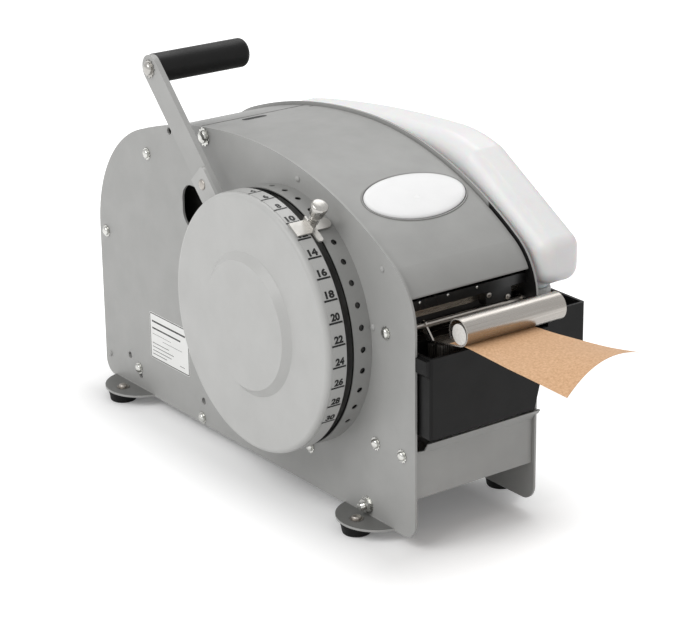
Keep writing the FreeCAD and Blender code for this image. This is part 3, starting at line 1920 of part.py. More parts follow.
def makeBrushes():
    floor = tankFloor + d.tank_wall + d.fit
    keep(
        box("holder", d.holder_left, d.holder_front, floor, d.holder_length, d.holder_depth, d.holder_height),
        "brush_holder",
    )
    body = newBody("brush_bristles", d.holder_left + d.bristle_trim)
    base = floor + d.holder_height
    length = d.holder_length - 2 * d.bristle_trim
    slope = sheetV / sheetU
    clear = d.tape_thickness + 2 * d.fit
    back = d.holder_front + d.holder_depth
    starts = (d.holder_front + d.bristle_inset, back - d.bristle_inset - d.bristle_depth)
    for start in starts:
        end = start + d.bristle_depth
        foot_y, foot_z = sheetPoint(tangentReach, -clear)
        addPad(body, "side", d.zero, length, [[
            (start, base),
            (end, base),
            (end, foot_z + (end - foot_y) * slope),
            (start, foot_z + (start - foot_y) * slope),
        ]])


makeBrushes()

# Water bottle: a blow-moulded bottle whose back follows the plates' outline, neck down in the well

bottle_sizes = {
    "bottle_gap": 5.4,
    "bottle_width": 41,
    "bottle_rise": 26.5,
    "bottle_front_rise": 36.5,
    "bottle_shoulder_depth": 97,
    "bottle_shoulder_rise": 93.5,
    "bottle_crest_depth": 155,
    "bottle_crest_rise": 101,
    "bottle_crest_radius": 150,
    "bottle_tail_depth": 355,
    "bottle_tail_rise": 79.5,
    "bottle_tail_radius": 1300,
    "bottle_back": 392,
    "bottle_back_rise": 53.5,
    "bottle_round": 11.5,
    "bottle_left_round": 13.5,
    "bottle_corner": 14,
    "neck_place": 82.5,
    "neck_depth": 27,
    "neck_radius": 10,
    "neck_length": 5,
    "valve_radius": 12.5,
    "valve_length": 22,
}
sizes(bottle_sizes)

bottleBottom = d.feed_height + d.bottle_rise
bottleFrontTop = bottleBottom + d.bottle_front_rise
bottleShoulderHeight = bottleBottom + d.bottle_shoulder_rise
bottleCrestHeight = bottleBottom + d.bottle_crest_rise
bottleTailHeight = bottleBottom + d.bottle_tail_rise
bottleBackTop = bottleBottom + d.bottle_back_rise
bottleLeft = outer + d.bottle_gap


def makeWaterBottle():
    body = newBody("water_bottle")
    addPad(body, "side", bottleLeft, d.bottle_width, [[
        (d.zero, bottleBottom),
        (d.bottle_back, bottleBottom),
        (d.bottle_back, bottleBackTop),
        (d.bottle_tail_depth, bottleTailHeight),
        (d.bottle_crest_depth, bottleCrestHeight, d.bottle_tail_radius, 1),
        (d.bottle_shoulder_depth, bottleShoulderHeight, d.bottle_crest_radius, 1),
        (d.zero, bottleFrontTop),
    ]])
    roundEdges(body, d.bottle_corner, lambda edge: runsAlong(edge, 0))
    roundEdges(body, d.bottle_round, lambda edge: near(edge.CenterOfMass.x, bottleLeft + d.bottle_width))
    roundEdges(body, d.bottle_left_round, lambda edge: near(edge.CenterOfMass.x, bottleLeft))
    addPad(body, "top", bottleBottom - d.neck_length, d.neck_length + d.overrun, [
        circleLoop(d.neck_place, d.neck_depth, d.neck_radius),
    ])


makeWaterBottle()


def makeValveCap():
    top = bottleBottom - d.neck_length
    item = cylinder(
        "cap", d.neck_place, d.neck_depth, top - d.valve_length, d.valve_radius, d.valve_length, "z"
    )
    keep(item, "valve_cap")


makeValveCap()

bottle_shelf_sizes = {
    "bracket_front": 50,
    "bracket_back": 380,
    "bracket_leg": 22,
}
sizes(bottle_shelf_sizes)


def makeBottleShelf():
    body = newBody("bottle_shelf")
    top = bottleBottom - d.fit
    skin = d.sheet_thickness
    end = bottleLeft + d.bottle_width
    addPad(body, "front", d.bracket_front, d.bracket_back - d.bracket_front, [[
        (outer, top - d.bracket_leg),
        (outer + skin, top - d.bracket_leg),
        (outer + skin, top - skin),
        (end, top - skin),
        (end, top),
        (outer, top),
    ]])


makeBottleShelf()

# Feet and fasteners

fastener_sizes = {
    "foot_radius": 13.5,
    "foot_taper": 2,
    "foot_screw_radius": 4.5,
    "foot_screw_rise": 2.4,
    "screw_radius": 4.2,
    "screw_rise": 2.2,
    "bolt_radius": 6.4,
    "bolt_rise": 5,
    "bolt_end_radius": 3,
    "bolt_end_rise": 3,
    "bolt_depth": 62.6,
    "bolt_height": 19.5,
}
sizes(fastener_sizes)

footReach = outer + d.foot_hole_reach
flangePlaces = (d.front_flange_place, rearFlangePlace)
footPlaces = [(side * footReach, place) for side in (-1, 1) for place in flangePlaces]


def makeFeet():
    feet = []
    screws = []
    for x, place in footPlaces:
        foot = doc.addObject("Part::Cone", "foot")
        bind(foot, "Radius1", d.foot_radius - d.foot_taper)
        bind(foot, "Radius2", d.foot_radius)
        bind(foot, "Height", d.plate_foot)
        seat(foot, x, place, d.zero)
        feet.append(foot)
        height = d.plate_foot + d.plate_thickness
        screws.append(cylinder("foot_screw", x, place, height, d.foot_screw_radius, d.foot_screw_rise, "z"))
    keep(group("feet", feet), "rubber_feet")
    keep(group("screws_of_feet", screws), "foot_screws")


makeFeet()


# Places of the screws in the side plates, as shares of the plates' depth and height
SCREW_SHARES = (
    (0.035, 0.244),
    (0.108, 0.241),
    (0.301, 0.122),
    (0.875, 0.072),
    (0.652, 0.02),
    (0.814, 0.824),
    (0.078, 0.591),
)


def makeSideScrews():
    places = [
        (d.cover_hinge_depth, coverHinge),
        (rearHingeDepth, d.rear_hinge_height),
    ]
    for depth_share, height_share in SCREW_SHARES:
        height = d.plate_foot + (plateTop - d.plate_foot) * height_share
        places.append((plateDepth * depth_share, height))
    heads = []
    for start in (-outer - d.screw_rise, outer):
        for depth, height in places:
            heads.append(cylinder("head", start, depth, height, d.screw_radius, d.screw_rise))
    keep(group("heads_of_screws", heads), "side_screws")


makeSideScrews()


def hexagon(x, depth, height, radius, length):
    corners = []
    for number in range(7):
        angle = math.radians(60 * number)
        corners.append(FreeCAD.Vector(
            float(x), float(depth + radius * math.cos(angle)), float(height + radius * math.sin(angle))
        ))
    return Part.Face(Part.makePolygon(corners)).extrude(FreeCAD.Vector(float(length), 0, 0))


def makeHexBolts():
    shapes = []
    for side in (-1, 1):
        start = -outer - d.bolt_rise if side < 0 else outer
        nut = hexagon(start, d.bolt_depth, d.bolt_height, d.bolt_radius, d.bolt_rise)
        end = -outer - d.bolt_rise - d.bolt_end_rise if side < 0 else outer + d.bolt_rise
        stud = roundBar(end, d.bolt_end_rise, (float(d.bolt_depth), float(d.bolt_height)), d.bolt_end_radius)
        shapes.append(nut.fuse(stud).removeSplitter())
    feature("hex_bolts", Part.makeCompound(shapes))


makeHexBolts()


def checkAndWrite():
    doc.recompute()
    for item in doc.Objects:
        if "Invalid" in item.State or "Error" in item.State:
            raise RuntimeError("%s is %s" % (item.Label, item.State))
    os.makedirs("parts", exist_ok=True)
    for piece in pieces:
        shape = piece.Shape
        if shape.isNull() or not shape.isValid() or shape.Volume <= 0:
            raise RuntimeError(piece.Label + " has no valid shape")
        shape.exportStep("parts/%s.step" % piece.Label)
    print("%d pieces" % len(pieces))


checkAndWrite()
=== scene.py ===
import bpy
import bmesh
import math
import random
from mathutils import Matrix, Vector


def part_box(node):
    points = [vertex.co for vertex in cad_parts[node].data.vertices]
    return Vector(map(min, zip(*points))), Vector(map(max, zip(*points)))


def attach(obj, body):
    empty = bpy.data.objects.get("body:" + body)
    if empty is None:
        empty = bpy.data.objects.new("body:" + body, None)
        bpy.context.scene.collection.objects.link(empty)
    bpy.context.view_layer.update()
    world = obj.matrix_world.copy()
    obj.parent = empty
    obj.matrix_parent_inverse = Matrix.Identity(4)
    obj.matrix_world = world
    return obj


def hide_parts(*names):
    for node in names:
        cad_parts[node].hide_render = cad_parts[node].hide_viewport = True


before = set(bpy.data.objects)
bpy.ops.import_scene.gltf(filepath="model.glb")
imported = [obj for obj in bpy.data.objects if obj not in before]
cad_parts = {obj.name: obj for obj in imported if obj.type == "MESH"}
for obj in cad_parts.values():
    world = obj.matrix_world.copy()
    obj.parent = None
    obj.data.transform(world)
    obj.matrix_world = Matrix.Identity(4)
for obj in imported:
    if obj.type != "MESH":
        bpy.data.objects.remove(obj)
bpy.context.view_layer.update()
print("frame loaded")

mm = 0.001
originDepth = 159.5  # the frame's origin is this far behind the side plates' front edges
dialCentre = (164.4, 156.2)  # depth and height of the dial's axis
dialRadius = 109.2
rollCentre = (340, 151)


def at(x, depth, height):
    # a place of the machine in mm, as metres of the frame
    return Vector((x, depth - originDepth, height)) * mm


# Materials

def linear(hexColour):
    parts = [int(hexColour[i:i + 2], 16) / 255 for i in (1, 3, 5)]
    return tuple(p / 12.92 if p <= 0.04045 else ((p + 0.055) / 1.055) ** 2.4 for p in parts) + (1,)


def addNode(tree, kind, inputs=None, **settings):
    node = tree.nodes.new(kind)
    for name, value in settings.items():
        setattr(node, name, value)
    for name, value in (inputs or {}).items():
        if isinstance(value, bpy.types.NodeSocket):
            tree.links.new(value, node.inputs[name])
        else:
            node.inputs[name].default_value = value
    return node


def newMaterial(name, colour, roughness, metallic=0, **sockets):
    material = bpy.data.materials.new(name)
    material.use_nodes = True
    tree = material.node_tree
    shader = tree.nodes["Principled BSDF"]
    shader.inputs["Base Color"].default_value = linear(colour)
    shader.inputs["Roughness"].default_value = roughness
    shader.inputs["Metallic"].default_value = metallic
    for name, value in sockets.items():
        shader.inputs[name].default_value = value
    return material, tree, shader


def objectCoords(tree, scale=(1, 1, 1)):
    coords = addNode(tree, "ShaderNodeTexCoord")
    mapping = addNode(tree, "ShaderNodeMapping", {"Vector": coords.outputs["Object"], "Scale": scale})
    return mapping.outputs["Vector"]


def shareOf(tree, value, low, high):
    # 0 at low and 1 at high, whichever of them is larger
    edge = addNode(tree, "ShaderNodeMapRange", {"Value": value, "From Min": low, "From Max": high})
    return edge.outputs["Result"]


def product(tree, first, *others):
    for other in others:
        first = addNode(tree, "ShaderNodeMath", {0: first, 1: other}, operation="MULTIPLY").outputs["Value"]
    return first


def mixColours(tree, shader, share, first, second):
    # the base colour goes from the first to the second, each a hex colour or a socket
    ends = [linear(end) if isinstance(end, str) else end for end in (first, second)]
    blend = addNode(tree, "ShaderNodeMix", {0: share, 6: ends[0], 7: ends[1]}, data_type="RGBA")
    tree.links.new(blend.outputs[2], shader.inputs["Base Color"])


def recolour(tree, shader, share, colour):
    # the base colour turns to another where share is 1
    mixColours(tree, shader, share, shader.inputs["Base Color"].links[0].from_socket, colour)


def mottle(tree, shader, colour, other, size, contrast=0.5, stretch=(1, 1, 1)):
    # blends two close colours over patches of a size in mm
    noise = addNode(tree, "ShaderNodeTexNoise", {
        "Vector": objectCoords(tree, stretch), "Scale": 1 / (size * mm), "Detail": 3, "Roughness": 0.6})
    share = shareOf(tree, noise.outputs["Fac"], 0.5 - contrast / 2, 0.5 + contrast / 2)
    mixColours(tree, shader, share, colour, other)
    return noise


def grain(tree, shader, size, height, stretch=(1, 1, 1), detail=2):
    # a bump of a grain size and height in mm
    noise = addNode(tree, "ShaderNodeTexNoise", {
        "Vector": objectCoords(tree, stretch), "Scale": 1 / (size * mm), "Detail": detail})
    bump = addNode(tree, "ShaderNodeBump", {
        "Height": noise.outputs["Fac"], "Distance": height * mm, "Strength": 1})
    tree.links.new(bump.outputs["Normal"], shader.inputs["Normal"])


def roughVary(tree, shader, noise, low, high):
    spread = addNode(tree, "ShaderNodeMapRange", {
        "Value": noise.outputs["Fac"], "From Min": 0.3, "From Max": 0.7, "To Min": low, "To Max": high})
    tree.links.new(spread.outputs["Result"], shader.inputs["Roughness"])


def axisReach(tree, axis):
    # the distance in metres from a line along X through a (depth, height) place
    coords = addNode(tree, "ShaderNodeTexCoord")
    centred = addNode(tree, "ShaderNodeMapping", {"Vector": coords.outputs["Object"], "Location": -at(0, *axis)})
    parts = addNode(tree, "ShaderNodeSeparateXYZ", {"Vector": centred.outputs["Vector"]})
    flat = addNode(tree, "ShaderNodeCombineXYZ", {"Y": parts.outputs["Y"], "Z": parts.outputs["Z"]})
    return addNode(tree, "ShaderNodeVectorMath", {0: flat.outputs["Vector"]}, operation="LENGTH").outputs["Value"]


def paintedSteel(name, colour, other, roughness=0.42):
    # sprayed enamel on sheet steel: fine orange peel about 1.2 mm across, faintly mottled
    material, tree, shader = newMaterial(name, colour, roughness)
    noise = mottle(tree, shader, colour, other, 28)
    roughVary(tree, shader, noise, roughness - 0.04, roughness + 0.05)
    grain(tree, shader, 1.2, 0.02)
    return material, tree, shader


def brushedMetal(name, colour, other, roughness, stretch, size=0.5, height=0.01):
    # drawn or ground metal: scratches along one axis, drawn a little coarser than they are
    material, tree, shader = newMaterial(name, colour, roughness, 1)
    noise = mottle(tree, shader, colour, other, size * 3, 0.6, stretch)
    roughVary(tree, shader, noise, roughness - 0.06, roughness + 0.08)
    grain(tree, shader, size, height, stretch)
    return material


def moulded(name, colour, other, roughness, size=0.8, height=0.02, **sockets):
    # moulded plastic or rubber with a spark-eroded grain
    material, tree, shader = newMaterial(name, colour, roughness, 0, **sockets)
    noise = mottle(tree, shader, colour, other, 22)
    roughVary(tree, shader, noise, roughness - 0.05, roughness + 0.06)
    grain(tree, shader, size, height)
    return material


def kraftPaper(name, colour, other, roughness):
    # unbleached sack kraft: fibres about 2 mm long, along the web, and small darker flecks
    material, tree, shader = newMaterial(name, colour, roughness)
    mottle(tree, shader, colour, other, 1.5, 0.5, (1, 0.6, 1))
    grain(tree, shader, 0.7, 0.015, (1, 0.4, 1), 4)
    return material


def woundPaper(name, colour, light, dark, spacing):
    # the wound roll: each turn's edge shows as a ring, drawn spacing mm apart
    material, tree, shader = newMaterial(name, colour, 0.7)
    turns = product(tree, axisReach(tree, rollCentre), 1 / (spacing * mm))
    spread = addNode(tree, "ShaderNodeTexNoise", {"W": turns, "Scale": 1, "Detail": 2}, noise_dimensions="1D")
    mixColours(tree, shader, spread.outputs["Fac"], dark, light)
    bump = addNode(tree, "ShaderNodeBump", {"Height": spread.outputs["Fac"], "Distance": 0.15 * mm})
    tree.links.new(bump.outputs["Normal"], shader.inputs["Normal"])
    return material


# parts of the plates darkened as painted shade: what they depend on, where they start and where they are full
plateShadeMasks = [
    # the feet's flanges: their tops are darkened, a painted shade
    ("#6E6E6C", [("side", 63.2 * mm, 63.8 * mm), ("height", 14 * mm, 13 * mm), ("facingUp", 0.6, 0.8)]),
    # the right plate's inner face is darkened to near black where the tape comes out, a painted shade
    ("#141414", [("facingRight", -0.5, -0.8), ("x", 55 * mm, 56 * mm), ("y", at(0, 62, 0).y, at(0, 60, 0).y),
                 ("height", 165 * mm, 170 * mm)]),
]


def maskPlates(tree, shader, masks):
    coords = addNode(tree, "ShaderNodeTexCoord")
    place = addNode(tree, "ShaderNodeSeparateXYZ", {"Vector": coords.outputs["Object"]}).outputs
    normal = addNode(tree, "ShaderNodeSeparateXYZ", {"Vector": coords.outputs["Normal"]}).outputs
    side = addNode(tree, "ShaderNodeMath", {0: place["X"]}, operation="ABSOLUTE").outputs["Value"]
    sockets = {"x": place["X"], "y": place["Y"], "height": place["Z"], "side": side,
               "facingRight": normal["X"], "facingUp": normal["Z"]}
    for colour, edges in masks:
        recolour(tree, shader, product(tree, *[shareOf(tree, sockets[key], *ends) for key, *ends in edges]), colour)


plateEnamel, plateTree, plateShader = paintedSteel("sidePlateEnamel", "#A5A5A3", "#9F9F9D")
maskPlates(plateTree, plateShader, plateShadeMasks)
ringEnamel, ringTree, ringShader = paintedSteel("stopRingEnamel", "#969694", "#90908E")
# inside the stop ring and under the cap's rim the colour turns near black: a painted shade in the slot
shadeStartRadius = (dialRadius - 0.6) * mm
paintedSlotShade = shareOf(ringTree, axisReach(ringTree, dialCentre), shadeStartRadius, shadeStartRadius - 0.4 * mm)
recolour(ringTree, ringShader, paintedSlotShade, "#101010")
coverEnamel = paintedSteel("coverEnamel", "#9E9E9C", "#989896")[0]
panelEnamel = paintedSteel("frontPanelEnamel", "#A0A09E", "#9A9A98")[0]
capEnamel = paintedSteel("dialCapEnamel", "#BBBBB9", "#B6B6B4", 0.38)[0]
leverEnamel = paintedSteel("leverEnamel", "#A9A9A7", "#A4A4A2")[0]
doublerEnamel = paintedSteel("doublerEnamel", "#B4B4B2", "#AFAFAD")[0]
guardEnamel = paintedSteel("guardBlackEnamel", "#151515", "#101010", 0.3)[0]
scaleFoil = paintedSteel("scaleFoil", "#B8B8B6", "#B3B3B1", 0.35)[0]
stainless = brushedMetal("brushedStainless", "#B3AFAA", "#A29D97", 0.27, (0.02, 1, 1), 0.35, 0.004)
turnedSteel = brushedMetal("turnedSteel", "#B3AEA8", "#9D9892", 0.32, (0.3, 1, 1), 0.6)
sawnSteel = brushedMetal("sawnBrightSteel", "#EBE8E4", "#D2CFCA", 0.5, (1, 1, 1), 1.0, 0.03)
groundSteel = brushedMetal("groundToolSteel", "#CFC8BE", "#BAB2A7", 0.24, (0.03, 1, 1), 0.4)
nickelPlate = brushedMetal("nickelPlatedSteel", "#B9B7B3", "#ABA9A5", 0.24, (1, 1, 1), 3.0, 0.001)
satinNickel = brushedMetal("satinNickelSheet", "#C6C4C0", "#BFBDB9", 0.42, (1, 1, 1), 4.0, 0.001)
zincPlate = brushedMetal("zincPlatedSteel", "#D6D6D2", "#BCBCB8", 0.22, (1, 1, 1), 1.2, 0.004)
gearIron = brushedMetal("machinedGearIron", "#7E7B78", "#6C6966", 0.42, (1, 1, 1), 0.8, 0.02)
oilBronze = brushedMetal("oilBronze", "#B08D5A", "#9B7A4B", 0.4, (1, 1, 1), 0.5, 0.02)
lowGloss = {"Specular IOR Level": 0.17}
gripVinyl = moulded("gripVinyl", "#1E1E1E", "#191919", 0.42, **lowGloss)
tankAbs = moulded("tankAbs", "#131313", "#0F0F0F", 0.42, **lowGloss)
footRubber = moulded("footRubber", "#141414", "#101010", 0.6, **lowGloss)
feedRubber = moulded("feedRubber", "#4A4039", "#3F362F", 0.7)
brushNylon = moulded("brushNylon", "#33302C", "#27241F", 0.5)
bottlePoly = moulded("bottlePolyethylene", "#F0F0F0", "#ECECEC", 0.34, 3.0, 0.03,
                     **{"Subsurface Weight": 0.3, "Subsurface Scale": 0.02})
valvePoly = moulded("valvePolypropylene", "#DADAD8", "#D2D2D0", 0.35)
badgeVinyl = moulded("badgeVinyl", "#EEEEEE", "#EBEBEB", 0.22, 4.0, 0.005)
badgeRim = moulded("badgeRim", "#8E8E8C", "#868684", 0.35, 1.0, 0.004)
labelPaper = moulded("labelPaper", "#F0F0EE", "#ECECEA", 0.5, 0.5, 0.004)
labelInk = moulded("labelInk", "#1E1E1E", "#181818", 0.5, 0.5, 0.004)
scaleInk = moulded("scaleInk", "#101010", "#161616", 0.55, 0.5, 0.004)
grooveBlack = moulded("grooveBlack", "#0E0E0E", "#0A0A0A", 0.7)
# a flat dark grey, painted shade for the disc beside the roll
rollShadeGrey = moulded("paintedShadeGrey", "#3A3936", "#33322F", 0.6, 1.2, 0.02)
kraft = kraftPaper("kraftPaper", "#E6BD94", "#C4956B", 0.62)
coreBoard = kraftPaper("coreBoard", "#A08A70", "#8F7A62", 0.8)
woundKraft = woundPaper("woundKraft", "#CFA376", "#DDB58A", "#C1946A", 0.9)
print("materials made")

nodeMaterials = {
    plateEnamel: ["left_side_plate", "right_side_plate", "bottle_shelf"],
    panelEnamel: ["front_panel", "tank_shelf", "base_pan", "rear_panel"],
    coverEnamel: ["top_cover", "rear_cover"],
    capEnamel: ["dial_cap"],
    ringEnamel: ["stop_ring"],
    scaleFoil: ["scale_band"],
    leverEnamel: ["lever_arm"],
    doublerEnamel: ["lever_doubler"],
    turnedSteel: ["hinge_rods", "cross_rods", "guide_rod", "weight_hinge_rod", "cap_spacers", "lever_shaft",
                  "feed_shaft", "idler_stud", "pressure_yoke", "pressure_spring", "lever_rivet",
                  "left_tape_guide", "right_tape_guide", "grip_screw", "foot_screws", "hex_bolts"],
    sawnSteel: ["weight_bar"],
    groundSteel: ["fixed_knife", "moving_knife"],
    stainless: ["weight_plate"],
    nickelPlate: ["thumb_screw"],
    satinNickel: ["stop_clip"],
    zincPlate: ["side_screws"],
    gearIron: ["drive_sector", "idler_gears", "feed_pinion"],
    oilBronze: ["shaft_bush", "feed_bushes"],
    gripVinyl: ["grip"],
    tankAbs: ["water_tank", "brush_holder", "front_cradle_roller", "rear_cradle_roller"],
    footRubber: ["rubber_feet"],
    feedRubber: ["feed_wheel", "pressure_roller"],
    brushNylon: ["brush_bristles"],
    guardEnamel: ["guard_bar"],
    kraft: ["tape_web", "tape_strip"],
    woundKraft: ["tape_roll"],
    coreBoard: ["tape_core"],
    bottlePoly: ["water_bottle"],
    valvePoly: ["valve_cap"],
}
for material, names in nodeMaterials.items():
    for name in names:
        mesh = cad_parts[name].data
        mesh.materials.clear()
        mesh.materials.append(material)
print("node materials set")


# Making pieces

def newObject(name, data):
    made = bpy.data.objects.new(name, data)
    bpy.context.scene.collection.objects.link(made)
    return made


def drop(helper):
    bpy.data.objects.remove(helper, do_unlink=True)


def newPiece(name, mesh, body, material=None, replaced=()):
    # a finished piece: its place is in its mesh
    piece = newObject(name, mesh)
    if material:
        mesh.materials.clear()
        mesh.materials.append(material)
    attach(piece, body)
    if replaced:
        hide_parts(*replaced)
    return piece


def meshFrom(shape, name, smooth=None):
    # smooth is the angle in degrees under which faces shade as one
    bmesh.ops.remove_doubles(shape, verts=shape.verts, dist=1e-6)
    bmesh.ops.recalc_face_normals(shape, faces=shape.faces)
    if smooth:
        for face in shape.faces:
            face.smooth = True
        for edge in shape.edges:
            edge.smooth = len(edge.link_faces) == 2 and edge.calc_face_angle(0) < math.radians(smooth)
    mesh = bpy.data.meshes.new(name)
    shape.to_mesh(mesh)
    shape.free()
    return mesh


def ringAt(shape, steps, height, radiusAt, centre=(0, 0)):
    # vertices round Z; radiusAt(angle) gives each one's radius
    ring = []
    for step in range(steps):
        angle = 2 * math.pi * step / steps
        radius = radiusAt(angle)
        ring.append(shape.verts.new((
            centre[0] + radius * math.cos(angle), centre[1] + radius * math.sin(angle), height)))
    return ring


def stitch(shape, rings, closed=False):
    # faces from each ring of vertices to the next; a ring of one vertex is a point
    for low, high in zip(rings, rings[1:] + rings[:1] if closed else rings[1:]):
        count = max(len(low), len(high))
        for step in range(count):
            after = (step + 1) % count
            corners = [low[step % len(low)], low[after % len(low)], high[after % len(high)], high[step % len(high)]]
            unique = list(dict.fromkeys(corners))
            if len(unique) > 2:
                shape.faces.new(unique)


def prism(shape, near, far):
    # a solid between two rings
    stitch(shape, [near, far])
    shape.faces.new(near)
    shape.faces.new(far)


def lathe(profile, steps, centre=(0, 0), wave=None):
    # turns a profile of (radius, height) points about Z; wave(angle, radius, height) may move a radius
    shape = bmesh.new()
    rings = []
    for radius, height in profile:
        if radius < 1e-6:
            rings.append([shape.verts.new((centre[0], centre[1], height))])
        else:
            rings.append(ringAt(
                shape, steps, height, lambda angle: wave(angle, radius, height) if wave else radius, centre))
    stitch(shape, rings)
    return shape


def ribbed(looks):
    # a wave for lathe: ribs between two heights, where the radius is more than ribsOutside
    def wave(angle, radius, height):
        if looks["ribsFrom"] < height < looks["ribsTo"] and radius > looks["ribsOutside"]:
            return radius * (1 - looks["ribDepth"] * (0.5 + 0.5 * math.cos(angle * looks["ribs"])))
        return radius
    return wave


def absorb(shape, other):
    # moves another shape's faces into this one
    mesh = bpy.data.meshes.new("absorbed")
    other.to_mesh(mesh)
    other.free()
    shape.from_mesh(mesh)
    bpy.data.meshes.remove(mesh)


def evaluated(piece, name):
    # the piece's shape with its modifiers, as a plain mesh
    graph = bpy.context.evaluated_depsgraph_get()
    mesh = bpy.data.meshes.new_from_object(piece.evaluated_get(graph))
    mesh.name = name
    return mesh


def carve(base, cutter, name, smooth):
    # base without cutter, both bmesh shapes
    whole = newObject(name + "Base", meshFrom(base, name + "Base"))
    tool = newObject(name + "Tool", meshFrom(cutter, name + "Tool"))
    cut = whole.modifiers.new("cut", "BOOLEAN")
    cut.object = tool
    cut.solver = "EXACT"
    mesh = evaluated(whole, name)
    drop(whole)
    drop(tool)
    shape = bmesh.new()
    shape.from_mesh(mesh)
    return meshFrom(shape, name, smooth)


def boxShape(shape, low, high):
    made = bmesh.ops.create_cube(shape, size=1)
    bmesh.ops.scale(shape, vec=Vector(high) - Vector(low), verts=made["verts"])
    bmesh.ops.translate(shape, vec=(Vector(low) + Vector(high)) / 2, verts=made["verts"])
    return made["verts"]


# Screws: a pan head with a cross recess on a toothed washer, made at radius 1 along +Z

screwLooks = {
    "steps": 40,
    "smooth": 40,
    "head": [(0, -0.05), (0.8, -0.05), (0.97, 0), (1, 0.1), (0.97, 0.3), (0.88, 0.46), (0.7, 0.58), (0.4, 0.66),
             (0, 0.68)],
    "recessReach": 0.5,
    "recessWidth": 0.2,
    "recessTop": 0.9,
    "recessBottom": 0.28,
    "recessTaper": 0.55,
    "washerTeeth": 12,
    "washerReach": 1.42,
    "washerNotch": 1.2212,
    "washerHole": 0.7,
    "washerThickness": 0.16,
    "washerLift": 0.03,
    "toothBend": 0.05,
}


def screwHead(looks, base):
    head = lathe([(radius, base + height) for radius, height in looks["head"]], looks["steps"])
    cutter = bmesh.new()
    top, bottom = base + looks["recessTop"], base + looks["recessBottom"]
    reach, half = looks["recessReach"], looks["recessWidth"] / 2
    for halfX, halfY in ((reach, half), (half, reach)):
        for vert in boxShape(cutter, (-halfX, -halfY, bottom), (halfX, halfY, top)):
            if vert.co.z < (top + bottom) / 2:
                vert.co.x *= looks["recessTaper"] if halfX > halfY else 1
                vert.co.y *= looks["recessTaper"] if halfY > halfX else 1
    return carve(head, cutter, "screwHead", looks["smooth"])


def addWasher(shape, looks):
    # each tooth takes four steps: its two corners, bent up and down, and the gap after it
    reach, notch, bend = looks["washerReach"], looks["washerNotch"], looks["toothBend"]
    tooth = [(reach, bend), (reach, -bend), (notch, 0), (notch, 0)]
    hole = [(looks["washerHole"], 0)] * 4
    thickness = looks["washerThickness"]
    steps = 4 * looks["washerTeeth"]
    rings = []
    for outline, height in ((hole, 0), (tooth, 0), (tooth, thickness), (hole, thickness)):
        ring = []
        for step in range(steps):
            angle = 2 * math.pi * step / steps
            radius, rise = outline[step % 4]
            ring.append(shape.verts.new((
                radius * math.cos(angle), radius * math.sin(angle), height + rise + looks["washerLift"])))
        rings.append(ring)
    stitch(shape, rings, closed=True)


def screwPrototype(looks, withWasher):
    if not withWasher:
        return screwHead(looks, 0)
    shape = bmesh.new()
    shape.from_mesh(screwHead(looks, looks["washerThickness"]))
    addWasher(shape, looks)
    return meshFrom(shape, "screwHead", looks["smooth"])


def scatterTree(name, material):
    # puts a prototype on every point, its Z along the point's outward vector, turned at random
    tree = bpy.data.node_groups.new(name, "GeometryNodeTree")
    tree.is_modifier = True
    for socket, kind in (("Places", "Geometry"), ("Prototype", "Object"), ("Random turn", "Float"), ("Seed", "Int")):
        tree.interface.new_socket(socket, in_out="INPUT", socket_type="NodeSocket" + kind)
    tree.interface.new_socket("Result", in_out="OUTPUT", socket_type="NodeSocketGeometry")
    start = addNode(tree, "NodeGroupInput")
    outward = addNode(tree, "GeometryNodeInputNamedAttribute", {"Name": "outward"}, data_type="FLOAT_VECTOR")
    size = addNode(tree, "GeometryNodeInputNamedAttribute", {"Name": "size"}, data_type="FLOAT_VECTOR")
    facing = addNode(tree, "FunctionNodeAlignRotationToVector", {"Vector": outward.outputs["Attribute"]}, axis="Z")
    turn = addNode(tree, "FunctionNodeRandomValue", {
        "Max": start.outputs["Random turn"], "Seed": start.outputs["Seed"]}, data_type="FLOAT")
    spin = addNode(tree, "FunctionNodeAxisAngleToRotation", {"Axis": (0, 0, 1), "Angle": turn.outputs[1]})
    turned = addNode(tree, "FunctionNodeRotateRotation", {
        "Rotation": facing.outputs["Rotation"], "Rotate By": spin.outputs["Rotation"]}, rotation_space="LOCAL")
    source = addNode(tree, "GeometryNodeObjectInfo", {"Object": start.outputs["Prototype"]})
    placed = addNode(tree, "GeometryNodeInstanceOnPoints", {
        "Points": start.outputs["Places"], "Instance": source.outputs["Geometry"],
        "Rotation": turned.outputs["Rotation"], "Scale": size.outputs["Attribute"]})
    real = addNode(tree, "GeometryNodeRealizeInstances", {"Geometry": placed.outputs["Instances"]})
    painted = addNode(tree, "GeometryNodeSetMaterial", {"Geometry": real.outputs["Geometry"], "Material": material})
    addNode(tree, "NodeGroupOutput", {"Result": painted.outputs["Geometry"]})
    return tree


def scatter(name, prototype, places, material, body, turn=2 * math.pi, seed=1, replaced=()):
    # places is a list of (point, outward vector, size in mm or three sizes)
    points = bpy.data.meshes.new(name + "Places")
    points.from_pydata([place[0] for place in places], [], [])
    outward = points.attributes.new("outward", "FLOAT_VECTOR", "POINT")
    size = points.attributes.new("size", "FLOAT_VECTOR", "POINT")
    for number, (point, vector, scale) in enumerate(places):
        outward.data[number].vector = vector
        size.data[number].vector = Vector(scale if hasattr(scale, "__len__") else (scale,) * 3) * mm
    holder = newObject(name + "Places", points)
    source = newObject(name + "Prototype", prototype)
    repeat = holder.modifiers.new("repeat", "NODES")
    repeat.node_group = scatterTree(name + "Tree", material)
    values = {"Prototype": source, "Random turn": turn, "Seed": seed}
    for item in repeat.node_group.interface.items_tree:
        if item.in_out == "INPUT" and item.name in values:
            repeat[item.identifier] = values[item.name]
    mesh = evaluated(holder, name)
    holder.modifiers.remove(repeat)
    drop(holder)
    drop(source)
    for face in mesh.polygons:
        face.use_smooth = True
    return newPiece(name, mesh, body, replaced=replaced)


# Side plates, with the round top that the cover follows

